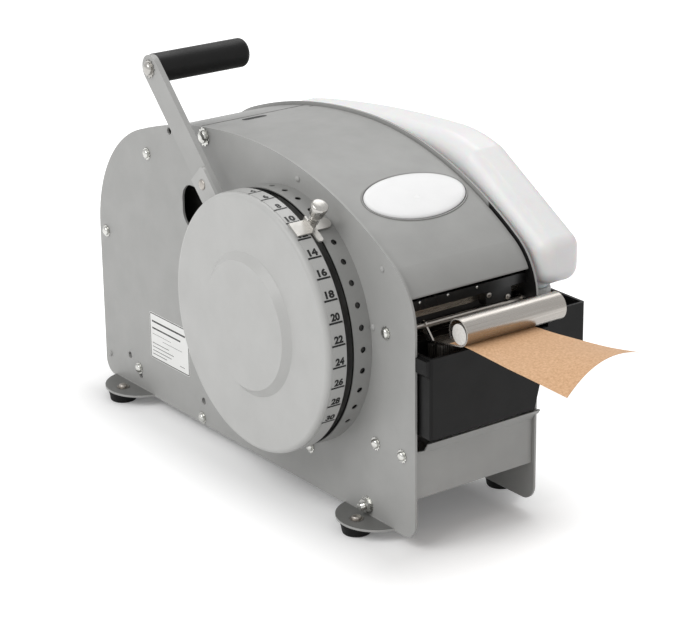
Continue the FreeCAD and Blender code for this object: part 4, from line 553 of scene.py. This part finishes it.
plateFace = 62.6
plateDepth = 471.5
plateFoot = 9.5
plateTop = 292
crownCentre = (221, -64)  # depth and height
crownRadius = 356
rearCrownHeight = -228  # behind its centre the crown is flatter: the height of that arc's centre, and its radius
rearCrownRadius = 520
coverInset = 3


def crownHeight(depth, inset):
    # the plates' top outline, set in by inset
    height, radius = (crownCentre[1], crownRadius) if depth < crownCentre[0] else (rearCrownHeight, rearCrownRadius)
    return height + math.sqrt((radius - inset) ** 2 - (depth - crownCentre[0]) ** 2)


def onPlates(spots):
    # each (depth, height, size) spot on both plates' outer faces
    return [(at(side * plateFace, depth, height), Vector((side, 0, 0)), size)
            for depth, height, size in spots for side in (-1, 1)]


hingeDepth = 289.6
hingeDrop = 5.4
hingeScrewRadius = 5.704
plateScrewRadius = 4.048
plateScrews = [(hingeDepth, crownHeight(hingeDepth, coverInset) - hingeDrop, hingeScrewRadius),
               (460, 151, plateScrewRadius)]
for depthShare, heightShare in ((0.035, 0.244), (0.108, 0.241), (0.301, 0.122), (0.875, 0.072), (0.652, 0.02),
                                (0.814, 0.824), (0.078, 0.591)):
    height = plateFoot + (plateTop - plateFoot) * heightShare
    plateScrews.append((plateDepth * depthShare, height, plateScrewRadius))
scatter("plateScrews", screwPrototype(screwLooks, True), onPlates(plateScrews), zincPlate, "frame", seed=4,
        replaced=("side_screws",))

flangeTop = 11.5
footScrewRadius = 4.2
footPlaces = [(side * 76.1, depth) for side in (-1, 1) for depth in (60, 421)]
scatter("footScrews", screwPrototype(screwLooks, True), [
    (at(x, depth, flangeTop), Vector((0, 0, 1)), footScrewRadius) for x, depth in footPlaces], turnedSteel,
    "frame", seed=9, replaced=("foot_screws",))

rivetProfile = [(0, 0), (1, 0), (0.98, 0.25), (0.8, 0.5), (0.45, 0.66), (0, 0.7)]
rivetRadius = 2.7
plateRivets = [(depth, height, rivetRadius)
               for depth, height in ((152.7, 274.7), (41.1, 228.4), (53.5, 176.4), (463.5, 28.9))]
scatter("plateRivets", meshFrom(lathe(rivetProfile, 24), "rivet", 60), onPlates(plateRivets), leverEnamel,
        "frame")

leverLooks = {
    "angle": 45.7,
    "offset": 1.2,  # the arm's own line runs this far off the dial's axis
    "rivetX": -89.1,
    "rivetReach": 130,
    "rivetSize": (4.6, 4.6, 2.2),
    "gripScrewX": -86.1,
    "gripReach": 245.8,
    "gripScrewRadius": 5.6,
}


def leverPoint(looks, x, reach):
    angle = math.radians(looks["angle"])
    depth = dialCentre[0] + reach * math.cos(angle) - looks["offset"] * math.sin(angle)
    return at(x, depth, dialCentre[1] + reach * math.sin(angle) + looks["offset"] * math.cos(angle))


leftward = Vector((-1, 0, 0))
scatter("leverRivetHead", meshFrom(lathe(rivetProfile, 32), "leverRivet", 60), [
    (leverPoint(leverLooks, leverLooks["rivetX"], leverLooks["rivetReach"]), leftward, leverLooks["rivetSize"])],
    turnedSteel, "lever", replaced=("lever_rivet",))
scatter("gripScrewHead", screwPrototype(screwLooks, True), [
    (leverPoint(leverLooks, leverLooks["gripScrewX"], leverLooks["gripReach"]), leftward,
     leverLooks["gripScrewRadius"])], nickelPlate, "lever", turn=0, replaced=("grip_screw",))

# screws that face the front at the exit: x, depth, height and radius
frontward = Vector((0, -1, 0))
guardScrews = [(-48, 13, 205.5, 1.2), (-20, 13, 205.5, 1.2), (9.2, 13, 205.5, 1.2)]
blockScrews = [(22.8, 14.5, 195.4, 2.4), (42.4, 14.5, 189.8, 2.6)]
for name, spots, material, slot, seed in (
        ("guardScrews", guardScrews, zincPlate, "bright", 2), ("blockScrews", blockScrews, turnedSteel, "steel", 6)):
    scatter(name, screwPrototype(screwLooks, False), [
        (at(x, depth, height), frontward, radius) for x, depth, height, radius in spots], material, "frame",
        seed=seed)
print("screws and rivets set")


# Hex nuts on threaded ends at the front foot flanges, made at radius 1 along +Z

nutLooks = {
    "steps": 24,
    "layers": [(0.93, 0), (1, 0.07), (1, 0.68), (0.9, 0.78)],
    "threadRadius": 0.48,
    "threadRoot": 0.86,
    "threadPitch": 0.16,
    "threadRings": 8,
    "washerTeeth": 20,
    "toothLow": (1.02, -0.09, 0),
    "toothHigh": (1.22, 0.09, 0.1),
    "washer": [(0.6, 0), (1.08, 0), (1.08, 0.1), (0.6, 0.1)],
    "spot": (62.6, 19.5, 6.3),
}


def hexagon(scale):
    # a hexagon's radius at an angle, its corners turned down to scale
    return lambda angle: min(math.cos(math.pi / 6) / math.cos(angle % (math.pi / 3) - math.pi / 6), scale)


def nutPrototype(looks):
    shape = bmesh.new()
    rings = [ringAt(shape, looks["steps"], height, hexagon(scale)) for scale, height in looks["layers"]]
    top = looks["layers"][-1][1]
    for number in range(looks["threadRings"] + 1):
        radius = looks["threadRadius"] * (looks["threadRoot"] if number % 2 else 1)
        rings.append(ringAt(
            shape, looks["steps"], top + number * looks["threadPitch"] / 2, lambda angle: radius))
    stitch(shape, rings)
    shape.faces.new(rings[0][::-1])
    shape.faces.new(rings[-1])
    for tooth in range(looks["washerTeeth"]):
        verts = boxShape(shape, looks["toothLow"], looks["toothHigh"])
        turn = Matrix.Rotation(2 * math.pi * tooth / looks["washerTeeth"], 3, "Z")
        bmesh.ops.rotate(shape, cent=(0, 0, 0), matrix=turn, verts=verts)
    absorb(shape, lathe(looks["washer"], 40))
    return meshFrom(shape, "hexNut", 30)


scatter("footNuts", nutPrototype(nutLooks), onPlates([nutLooks["spot"]]), zincPlate, "frame", turn=0,
        replaced=("hex_bolts",))

# Rubber feet: a tapered bumper with a rounded foot and a moulded collar
footProfile = [(0, 0), (10.4, 0), (11.6, 0.5), (12.1, 1.4), (13.1, 7.6), (13.5, 8), (13.5, 9.2), (13.2, 9.48),
               (0, 9.48)]
feet = bmesh.new()
for x, depth in footPlaces:
    centre = at(x, depth, 0)
    absorb(feet, lathe([(radius * mm, height * mm) for radius, height in footProfile], 48, (centre.x, centre.y)))
newPiece("rubberBumpers", meshFrom(feet, "rubberBumpers", 40), "frame", footRubber, ("rubber_feet",))
print("feet made")


# Dial scale: figures and strokes printed round the band

scaleLooks = {
    "firstFigure": 4,
    "lastFigure": 30,
    "figureStep": 2,
    "firstAngle": 91.57,
    "pitch": 9.49,
    "strokeStart": -101.3,
    "strokeEnd": -88.5,
    "strokeWidth": 1.6,
    "figureHeight": 6.4,
    "figureWidth": 8.6,  # of two figures
    "oneFigureShift": 2.58,
    "figureGap": 1.5,
    "figureStart": -98.8,
    "bold": 0.055,
    "bandLift": 0.45,
    "inkLift": 0.06,
}


def onDial(x, radius, angle):
    return at(x, dialCentre[0] - radius * math.cos(angle), dialCentre[1] + radius * math.sin(angle))


def wrapOnBand(x, rise, angle, looks):
    # a place on the band: x along the axis, rise in mm round the rim from a stroke's angle
    radius = dialRadius + looks["bandLift"] + looks["inkLift"]
    return onDial(x, radius, angle + rise / radius)


def figureMesh(words, bold):
    curve = bpy.data.curves.new("figure", "FONT")
    curve.body = words
    curve.size = 1
    curve.offset = bold
    curve.resolution_u = 4
    figure = newObject("figure", curve)
    mesh = evaluated(figure, "figure")
    drop(figure)
    return mesh


def printScale(looks):
    shape = bmesh.new()
    half = looks["strokeWidth"] / 2
    for number, figure in enumerate(range(looks["firstFigure"], looks["lastFigure"] + 1, looks["figureStep"])):
        angle = math.radians(looks["firstAngle"] - looks["pitch"] * number)
        mesh = figureMesh(str(figure), looks["bold"])
        xs = [vertex.co.x for vertex in mesh.vertices]
        ys = [vertex.co.y for vertex in mesh.vertices]
        width, start = looks["figureWidth"], looks["figureStart"]
        if figure < 10:
            width, start = width / 2, start + looks["oneFigureShift"]
        scaleX = width / (max(xs) - min(xs))
        scaleY = looks["figureHeight"] / (max(ys) - min(ys))
        for vertex in mesh.vertices:
            x = start + (vertex.co.x - min(xs)) * scaleX
            rise = looks["figureGap"] + (vertex.co.y - min(ys)) * scaleY
            vertex.co = wrapOnBand(x, rise, angle, looks)
        shape.from_mesh(mesh)
        bpy.data.meshes.remove(mesh)
        corners = [(looks["strokeStart"], -half), (looks["strokeEnd"], -half), (looks["strokeEnd"], half),
                   (looks["strokeStart"], half)]
        shape.faces.new([shape.verts.new(wrapOnBand(x, rise, angle, looks)) for x, rise in corners])
    axis = at(0, *dialCentre)
    for face in shape.faces:
        face.normal_update()
        middle = face.calc_center_median()
        if face.normal.dot(Vector((0, middle.y - axis.y, middle.z - axis.z))) < 0:
            face.normal_flip()
    mesh = bpy.data.meshes.new("scaleFigures")
    shape.to_mesh(mesh)
    shape.free()
    return mesh


newPiece("scaleFigures", printScale(scaleLooks), "frame", scaleInk)
print("dial scale printed")


# Thumb screw: a knurled head above a collar, along the clip's radial direction

clipLooks = {"zeroAngle": 96.7, "holePitch": 9.54, "hole": 4, "lift": 0.8}
thumbLooks = {"x": -83, "ribs": 30, "ribDepth": 0.012, "ribsFrom": 16, "ribsTo": 22, "ribsOutside": 6}
thumbProfile = [(0, 1.5), (3.4, 1.5), (3.4, 6), (4.3, 6.3), (4.3, 7.2), (3.3, 7.6), (3.3, 8), (4.3, 8.3), (4.3, 9.1),
                (3.3, 9.5), (3.3, 9.9), (4.3, 10.2), (4.3, 11), (3.4, 11.5), (4.6, 12.6), (5.6, 14.2), (6.3, 17),
                (6.8, 20), (7.2, 22.6), (7.1, 24.2), (6.4, 25.2), (5.2, 25.6), (2.6, 26), (0, 26.1)]


def standOnClip(mesh, x, looks):
    # turns a shape along Z to stand on the clip at x
    angle = math.radians(looks["zeroAngle"] - looks["hole"] * looks["holePitch"])
    outward = Vector((0, -math.cos(angle), math.sin(angle)))
    across = Vector((1, 0, 0))
    turn = Matrix((across, outward.cross(across), outward)).transposed()
    foot = onDial(x, dialRadius + looks["lift"], angle)
    for vertex in mesh.vertices:
        vertex.co = foot + turn @ (vertex.co * mm)
    mesh.update()


thumbMesh = meshFrom(lathe(thumbProfile, thumbLooks["ribs"] * 6, wave=ribbed(thumbLooks)), "thumbScrewKnurled", 40)
standOnClip(thumbMesh, thumbLooks["x"], clipLooks)
newPiece("thumbScrewKnurled", thumbMesh, "thumb", nickelPlate, ("thumb_screw",))
print("thumb screw made")


# Bare oval badge on the cover, with a raised rim and a dark groove inside it

badgeLooks = {"x": 6.2, "depth": 88.1, "halfX": 50.4, "halfAlong": 29.5, "rise": 1.8, "rim": 1.6, "steps": 120}


def onCover(x, along, lift, looks):
    # a place on the cover: along in mm over the crown from the badge's centre, lift off the paint
    coverRadius = crownRadius - coverInset
    angle = math.asin((crownCentre[0] - looks["depth"]) / coverRadius) + along / coverRadius
    radius = coverRadius + lift
    return at(x, crownCentre[0] - radius * math.sin(angle), crownCentre[1] + radius * math.cos(angle))


def badgeMesh(looks, profile, name):
    # profile is a list of (share of the size, inset, lift); a share of 0 is the middle point
    shape = bmesh.new()
    rings = []
    for share, inset, lift in profile:
        ring = []
        for step in range(looks["steps"] if share else 1):
            angle = 2 * math.pi * step / looks["steps"]
            x = looks["x"] + (looks["halfX"] * share - inset) * math.cos(angle)
            ring.append(shape.verts.new(onCover(
                x, (looks["halfAlong"] * share - inset) * math.sin(angle), lift, looks)))
        rings.append(ring)
    stitch(shape, rings)
    return meshFrom(shape, name, 40)


rim = badgeLooks["rim"]
rise = badgeLooks["rise"]
newPiece("badgeRim", badgeMesh(badgeLooks, [
    (1, 0, 0.02), (1, 0.2, 0.5), (1, 0.5, 0.8), (1, rim - 0.3, 0.8), (1, rim, 0.6), (1, rim, 0.02)],
    "badgeRim"), "cover", badgeRim)
newPiece("badgeGroove", badgeMesh(badgeLooks, [
    (1, rim - 0.05, 0.02), (1, rim - 0.05, 0.3), (1, rim + 0.75, 0.3), (1, rim + 0.75, 0.02)],
    "badgeGroove"), "cover", grooveBlack)
newPiece("badgeFace", badgeMesh(badgeLooks, [
    (1, rim + 0.6, 0.02), (1, rim + 0.6, rise * 0.3), (1, rim + 0.9, rise * 0.62), (1, rim + 1.8, rise * 0.86),
    (1, rim + 3.4, rise * 0.97)] + [(share, 0, rise) for share in (0.7, 0.45, 0.25, 0.1, 0)],
    "badgeFace"), "cover", badgeVinyl)
print("badge made")


# Bare label on the left plate: a plain form with a border and ruled lines

labelLooks = {
    "depth": (326, 391),
    "height": (47.7, 92.4),
    "back": 0.02,
    "thickness": 0.18,
    "corner": 2.5,
    "cornerSteps": 6,
    "border": 0.9,
    "borderInset": 0.5,
    "inkRise": 0.03,
    "inkSunk": 0.01,
    # start and end along the label from its front edge, height and width of a line, all in mm
    "lines": [(6, 61, 84.2, 1.7), (14, 61, 77.6, 1.5), (30, 61, 72.0, 0.35), (12, 44, 68.2, 0.35), (34, 61, 63.2, 0.6),
              (26, 61, 59.6, 0.6), (30, 61, 56.0, 0.6), (38, 61, 52.6, 0.6), (8, 16, 53.6, 0.5)],
}


def labelOutline(looks, inset):
    # rounded corners as (depth, height) points, set in by inset
    front, rear = looks["depth"][0] + inset, looks["depth"][1] - inset
    foot, top = looks["height"][0] + inset, looks["height"][1] - inset
    radius = looks["corner"] - inset
    centres = [(rear - radius, top - radius), (front + radius, top - radius), (front + radius, foot + radius),
               (rear - radius, foot + radius)]
    outline = []
    for quarter, (depth, height) in enumerate(centres):
        for step in range(looks["cornerSteps"] + 1):
            angle = math.pi / 2 * (quarter + step / looks["cornerSteps"])
            outline.append((depth + radius * math.cos(angle), height + radius * math.sin(angle)))
    return outline


def outlineRing(shape, outline, x):
    return [shape.verts.new(at(x, depth, height)) for depth, height in outline]


def labelMesh(looks):
    shape = bmesh.new()
    outline = labelOutline(looks, 0)
    prism(shape, outlineRing(shape, outline, -plateFace - looks["back"]),
          outlineRing(shape, outline, -plateFace - looks["thickness"]))
    return meshFrom(shape, "plateLabel", 30)


def labelInkMesh(looks):
    # printed lines, a hair proud of the paper
    shape = bmesh.new()
    paper = -plateFace - looks["thickness"]
    low, high = paper + looks["inkSunk"], paper - looks["inkRise"]
    outer = labelOutline(looks, looks["borderInset"])
    inner = labelOutline(looks, looks["borderInset"] + looks["border"])
    stitch(shape, [outlineRing(shape, outline, x)
                   for outline, x in ((outer, low), (outer, high), (inner, high), (inner, low))], closed=True)
    first = looks["depth"][0]
    for start, end, height, width in looks["lines"]:
        boxShape(shape, at(high, first + start, height - width / 2), at(low, first + end, height + width / 2))
    return meshFrom(shape, "labelLines", 30)


newPiece("plateLabel", labelMesh(labelLooks), "frame", labelPaper)
newPiece("labelLines", labelInkMesh(labelLooks), "frame", labelInk)
print("label made")


# Cut strip: lies under the weight plate and curls a little as it dries

stripLooks = {
    "left": -41,
    "right": 31,
    "thickness": 0.3,
    "along": 60,
    "across": 24,
    "twist": 1.35,  # the power by which the height changes from the left edge to the right
    "crown": 11.0,
    "crownFrom": 0.4,  # the share of the length where the crown starts, and the power by which it grows
    "crownGrowth": 1.5,
    "crownLean": 0.3,
}
# the strip's edges, as (depth, height) from the exit to the free end
stripLeft = [(3.5, 173.9), (-12, 177.6), (-24, 180.2), (-35, 181.4), (-60.8, 180.4), (-85, 179.3), (-108.7, 178.8),
             (-132, 178), (-152, 177.3)]
stripRight = [(3.5, 173.9), (-12, 177.4), (-22, 179.3), (-33.8, 180.6), (-57.2, 182.3), (-77.2, 184.4), (-100.6, 187),
              (-122, 189.9), (-150.5, 195.2)]


def smoothLine(points, count):
    # an even walk along a smooth line through (depth, height) points
    result = []
    for step in range(count + 1):
        place = step / count * (len(points) - 1)
        index = min(int(place), len(points) - 2)
        share = place - index
        around = [points[min(max(index + k, 0), len(points) - 1)] for k in (-1, 0, 1, 2)]
        value = []
        for axis in (0, 1):
            a, b, c, d = (p[axis] for p in around)
            value.append(0.5 * (2 * b + (c - a) * share + (2 * a - 5 * b + 4 * c - d) * share ** 2
                                + (3 * b - a - 3 * c + d) * share ** 3))
        result.append(value)
    return result


def stripMesh(looks):
    along, across = looks["along"], looks["across"]
    left, right = smoothLine(stripLeft, along), smoothLine(stripRight, along)
    shape = bmesh.new()
    sheets = []
    for layer in (0, looks["thickness"]):
        rows = []
        for row in range(along + 1):
            reach = max(0, (row / along - looks["crownFrom"]) / (1 - looks["crownFrom"])) ** looks["crownGrowth"]
            line = []
            for column in range(across + 1):
                share = column / across
                x = looks["left"] + (looks["right"] - looks["left"]) * share
                depth = left[row][0] + (right[row][0] - left[row][0]) * share
                height = left[row][1] + (right[row][1] - left[row][1]) * share ** looks["twist"]
                cup = looks["crown"] * 4 * share * (1 - share) * reach
                line.append(shape.verts.new(at(x, depth + cup * looks["crownLean"], height + cup - layer)))
            rows.append(line)
        sheets.append(rows)
    for rows in sheets:
        for near, far in zip(rows, rows[1:]):
            for column in range(across):
                shape.faces.new([near[column], near[column + 1], far[column + 1], far[column]])
    border = [(0, column) for column in range(across)] + [(row, across) for row in range(along)]
    border += [(along, across - column) for column in range(across)] + [(along - row, 0) for row in range(along)]
    stitch(shape, [[rows[row][column] for row, column in border] for rows in sheets])
    return meshFrom(shape, "cutStrip", 40)


newPiece("cutStrip", stripMesh(stripLooks), "frame", kraft, ("tape_strip",))
print("strip made")


# Black plate behind the knives, its lower edge turned back: a dark sheet put there as painted shade over the web

shadeSheetLooks = {"left": -59.6, "right": 59.6, "depth": 26.8, "thickness": 1.2, "bottom": 180.2, "top": 198, "turn": 2.4,
              "bendSteps": 6}


def guideMesh(looks):
    front, back = looks["depth"], looks["depth"] + looks["thickness"]
    centre = (back + looks["turn"], looks["bottom"] + looks["turn"])
    angles = [math.pi * (1 + step / looks["bendSteps"] / 2) for step in range(looks["bendSteps"] + 1)]
    outer, inner = [[(centre[0] + radius * math.cos(angle), centre[1] + radius * math.sin(angle)) for angle in angles]
                    for radius in (looks["turn"] + looks["thickness"], looks["turn"])]
    outline = [(front, looks["top"])] + outer + inner[::-1] + [(back, looks["top"])]
    shape = bmesh.new()
    prism(shape, outlineRing(shape, outline, looks["left"]), outlineRing(shape, outline, looks["right"]))
    return meshFrom(shape, "webHoldDown", 30)


# the black sheet is a painted shade that darkens the web behind the knives
newPiece("webHoldDown", guideMesh(shadeSheetLooks), "frame", guardEnamel)
print("exit shade sheet made")


# Dark grey disc on the roll's left side, its rim a little inside the paper's edge: a painted shade over the roll where
# it shows through the left plate

discLooks = {"inset": 1.2, "face": -41.1, "thickness": 1.0, "hub": 19.5, "steps": 96}


def discMesh(looks):
    low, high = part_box("tape_roll")
    rimRadius = (high[2] - low[2]) / 2 / mm - looks["inset"]
    near, far = looks["face"], looks["face"] - looks["thickness"]
    angles = [2 * math.pi * step / looks["steps"] for step in range(looks["steps"])]
    shape = bmesh.new()
    stitch(shape, [outlineRing(shape, [
        (rollCentre[0] + radius * math.cos(angle), rollCentre[1] + radius * math.sin(angle)) for angle in angles], x)
        for x, radius in ((near, rimRadius), (far, rimRadius), (far, looks["hub"]), (near, looks["hub"]))], closed=True)
    return meshFrom(shape, "rollDisc", 30)


newPiece("rollDisc", discMesh(discLooks), "roll", rollShadeGrey)


# Finger slot pressed into the cover behind its crown: a folded lip round a flat black face, a painted shade for the
# slot's depth

slotLooks = {"left": -15.6, "right": 8.6, "front": 296.4, "back": 304.8, "sunk": 0.3, "lip": 0.8, "lipLift": 0.12,
             "shadeLift": 0.18, "steps": 10}


def slotMesh(looks, grow, lift, name):
    half = (looks["back"] - looks["front"]) / 2
    middle = (looks["back"] + looks["front"]) / 2
    outline = []
    for centre, start in ((looks["right"] - half, -90), (looks["left"] + half, 90)):
        for step in range(looks["steps"] + 1):
            angle = math.radians(start + 180 * step / looks["steps"])
            outline.append((centre + (half + grow) * math.cos(angle), middle + (half + grow) * math.sin(angle)))
    shape = bmesh.new()
    prism(shape, *[[shape.verts.new(at(x, depth, crownHeight(depth, coverInset) + rise)) for x, depth in outline]
                   for rise in (-looks["sunk"], lift)])
    return meshFrom(shape, name, 30)


newPiece("slotLip", slotMesh(slotLooks, slotLooks["lip"], slotLooks["lipLift"], "slotLip"), "cover",
         coverEnamel)
# the slot's black face is a painted shade
newPiece("slotPocket", slotMesh(slotLooks, 0, slotLooks["shadeLift"], "slotPocket"), "cover", grooveBlack)
print("roll disc and cover slot made")


# Brush: tufts of nylon in the holder, their tips along the tape's slope

brushLooks = {
    "left": -41,
    "right": 41,
    "pitch": 2.0,
    "rows": (-5, -2.7, -0.4, 7, 9.3, 11.6),
    "radius": 0.75,
    "foot": 119.6,
    "tape": (-29.3, 179.0),  # depth and height of a place on the tape's underside
    "slope": 0.1705,
    "clearance": 1.2,
    "wear": 0.8,
}


def bristlePlaces(looks):
    tufts = []
    random.seed(7)
    for depth in looks["rows"]:
        tip = looks["tape"][1] - (depth - looks["tape"][0]) * looks["slope"] - looks["clearance"]
        x = looks["left"] + looks["pitch"] / 2
        while x < looks["right"]:
            length = tip - looks["foot"] - random.uniform(0, looks["wear"])
            tufts.append((at(x, depth, looks["foot"]), Vector((0, 0, 1)), (looks["radius"], looks["radius"], length)))
            x += looks["pitch"]
    return tufts


tuftMesh = meshFrom(lathe([(0, 0), (1, 0), (0.9, 0.6), (1.05, 0.97), (0.7, 1), (0, 1)], 7), "tuft", 50)
scatter("brushTufts", tuftMesh, bristlePlaces(brushLooks), brushNylon, "tank", seed=3,
        replaced=("brush_bristles",))
print("brush made")


# Valve cap: a ribbed cap with a stem

capLooks = {"x": 82.5, "depth": 27, "ribs": 28, "ribDepth": 0.03, "ribsFrom": 175, "ribsTo": 187, "ribsOutside": 12}
capProfile = [(0, 165.6), (2.2, 165.6), (2.4, 170), (8.2, 170.4), (9.0, 171), (9.2, 173.8), (11.4, 174.2),
              (12.2, 174.8), (12.4, 176), (12.4, 186.4), (12.0, 187.3), (0, 187.4)]
capMesh = meshFrom(lathe(capProfile, capLooks["ribs"] * 6, wave=ribbed(capLooks)), "bottleCap", 40)
for vertex in capMesh.vertices:
    vertex.co = at(capLooks["x"] + vertex.co.x, capLooks["depth"] + vertex.co.y, vertex.co.z)
newPiece("bottleCap", capMesh, "bottle", valvePoly, ("valve_cap",))
print("cap made")


# Floor, light and camera

floorLooks = {
    "reach": 6,
    "footprintShift": (0.02, -0.076, 0),  # from the frame's origin to the middle of what the shadow lies round
    "footprintHalf": (0.065, 0.236, 1),
    "fadeWidth": 0.085,
    "liftNear": 0.11,
    "liftFar": 0.53,
}
lampLooks = {
    "keyLamp": {"place": (-2.4, 0, 2.5), "target": (0, 0, 0.15), "size": 2.2, "power": 46},
    "topLamp": {"place": (1.1, 0.9, 2.3), "target": (0, 0, 0.2), "size": 1.6, "power": 16},
}
worldLight = 0.55
worldSeen = 0.85
cameraLooks = {
    "place": (-1123.64, -1358.16, 841.72),  # x, depth and height
    "azimuth": -36.02,
    "elevation": 20.44,
    "roll": -0.76,
    "focalPixels": 2395.16,
    "imageWidth": 675,
    "sensorWidth": 36,
}


def seenDirectly(tree):
    # 1 for what the camera sees, also by reflection or through something clear
    path = addNode(tree, "ShaderNodeLightPath")
    seen = path.outputs["Is Camera Ray"]
    for ray in ("Is Transmission Ray", "Is Glossy Ray"):
        seen = addNode(tree, "ShaderNodeMath", {0: seen, 1: path.outputs[ray]}, operation="MAXIMUM").outputs["Value"]
    return seen


def makeFloor(looks):
    # white paper: it takes the object's shadow, and fades to plain white away from the object
    reach = looks["reach"]
    floor = bpy.data.meshes.new("floor")
    floor.from_pydata([(-reach, -reach, 0), (reach, -reach, 0), (reach, reach, 0), (-reach, reach, 0)], [],
                      [(0, 1, 2, 3)])
    material, tree, shader = newMaterial("whitePaper", "#F6F6F6", 0.9, 0, **{"Specular IOR Level": 0})
    coords = addNode(tree, "ShaderNodeTexCoord")
    away = addNode(tree, "ShaderNodeMapping", {
        "Vector": coords.outputs["Object"], "Location": looks["footprintShift"]}).outputs["Vector"]
    for operation, second in (("ABSOLUTE", None), ("SUBTRACT", looks["footprintHalf"]), ("MAXIMUM", (0, 0, 0))):
        inputs = {0: away, 1: second} if second else {0: away}
        away = addNode(tree, "ShaderNodeVectorMath", inputs, operation=operation).outputs["Vector"]
    distance = addNode(tree, "ShaderNodeVectorMath", {0: away}, operation="LENGTH").outputs["Value"]
    lift = addNode(tree, "ShaderNodeMapRange", {
        "Value": distance, "From Max": looks["fadeWidth"], "To Min": looks["liftNear"], "To Max": looks["liftFar"]})
    shader.inputs["Emission Color"].default_value = (1, 1, 1, 1)
    tree.links.new(product(tree, seenDirectly(tree), lift.outputs["Result"]), shader.inputs["Emission Strength"])
    floor.materials.append(material)
    newObject("floor", floor)


def makeWorld():
    world = bpy.data.worlds.new("studio")
    bpy.context.scene.world = world
    world.use_nodes = True
    tree = world.node_tree
    background = tree.nodes["Background"]
    strength = addNode(tree, "ShaderNodeMapRange", {
        "Value": seenDirectly(tree), "To Min": worldLight, "To Max": worldSeen})
    background.inputs["Color"].default_value = (1, 1, 1, 1)
    tree.links.new(strength.outputs["Result"], background.inputs["Strength"])


def addLamp(name, looks):
    lamp = bpy.data.lights.new(name, "AREA")
    lamp.shape = "RECTANGLE"
    lamp.size = lamp.size_y = looks["size"]
    lamp.energy = looks["power"]
    holder = newObject(name, lamp)
    holder.location = looks["place"]
    aim = Vector(looks["target"]) - Vector(looks["place"])
    holder.rotation_euler = aim.to_track_quat("-Z", "Y").to_euler()


def makeCamera(looks):
    azimuth, elevation, roll = (math.radians(looks[name]) for name in ("azimuth", "elevation", "roll"))
    forward = Vector((-math.sin(azimuth) * math.cos(elevation), math.cos(azimuth) * math.cos(elevation),
                      -math.sin(elevation)))
    across = Vector((math.cos(azimuth), math.sin(azimuth), 0))
    upward = across.cross(forward)
    right = across * math.cos(roll) + upward * math.sin(roll)
    up = upward * math.cos(roll) - across * math.sin(roll)
    camera = bpy.data.cameras.new("camera")
    camera.sensor_fit = "HORIZONTAL"
    camera.sensor_width = looks["sensorWidth"]
    camera.lens = looks["sensorWidth"] * looks["focalPixels"] / looks["imageWidth"]
    camera.clip_start = 0.05
    camera.clip_end = 50
    holder = newObject("camera", camera)
    turn = Matrix((right, up, -forward)).transposed().to_4x4()
    turn.translation = at(*looks["place"])
    holder.matrix_world = turn
    bpy.context.scene.camera = holder


makeFloor(floorLooks)
makeWorld()
for name, looks in lampLooks.items():
    addLamp(name, looks)
makeCamera(cameraLooks)
bpy.context.scene.view_settings.view_transform = "Standard"
print("stage set")
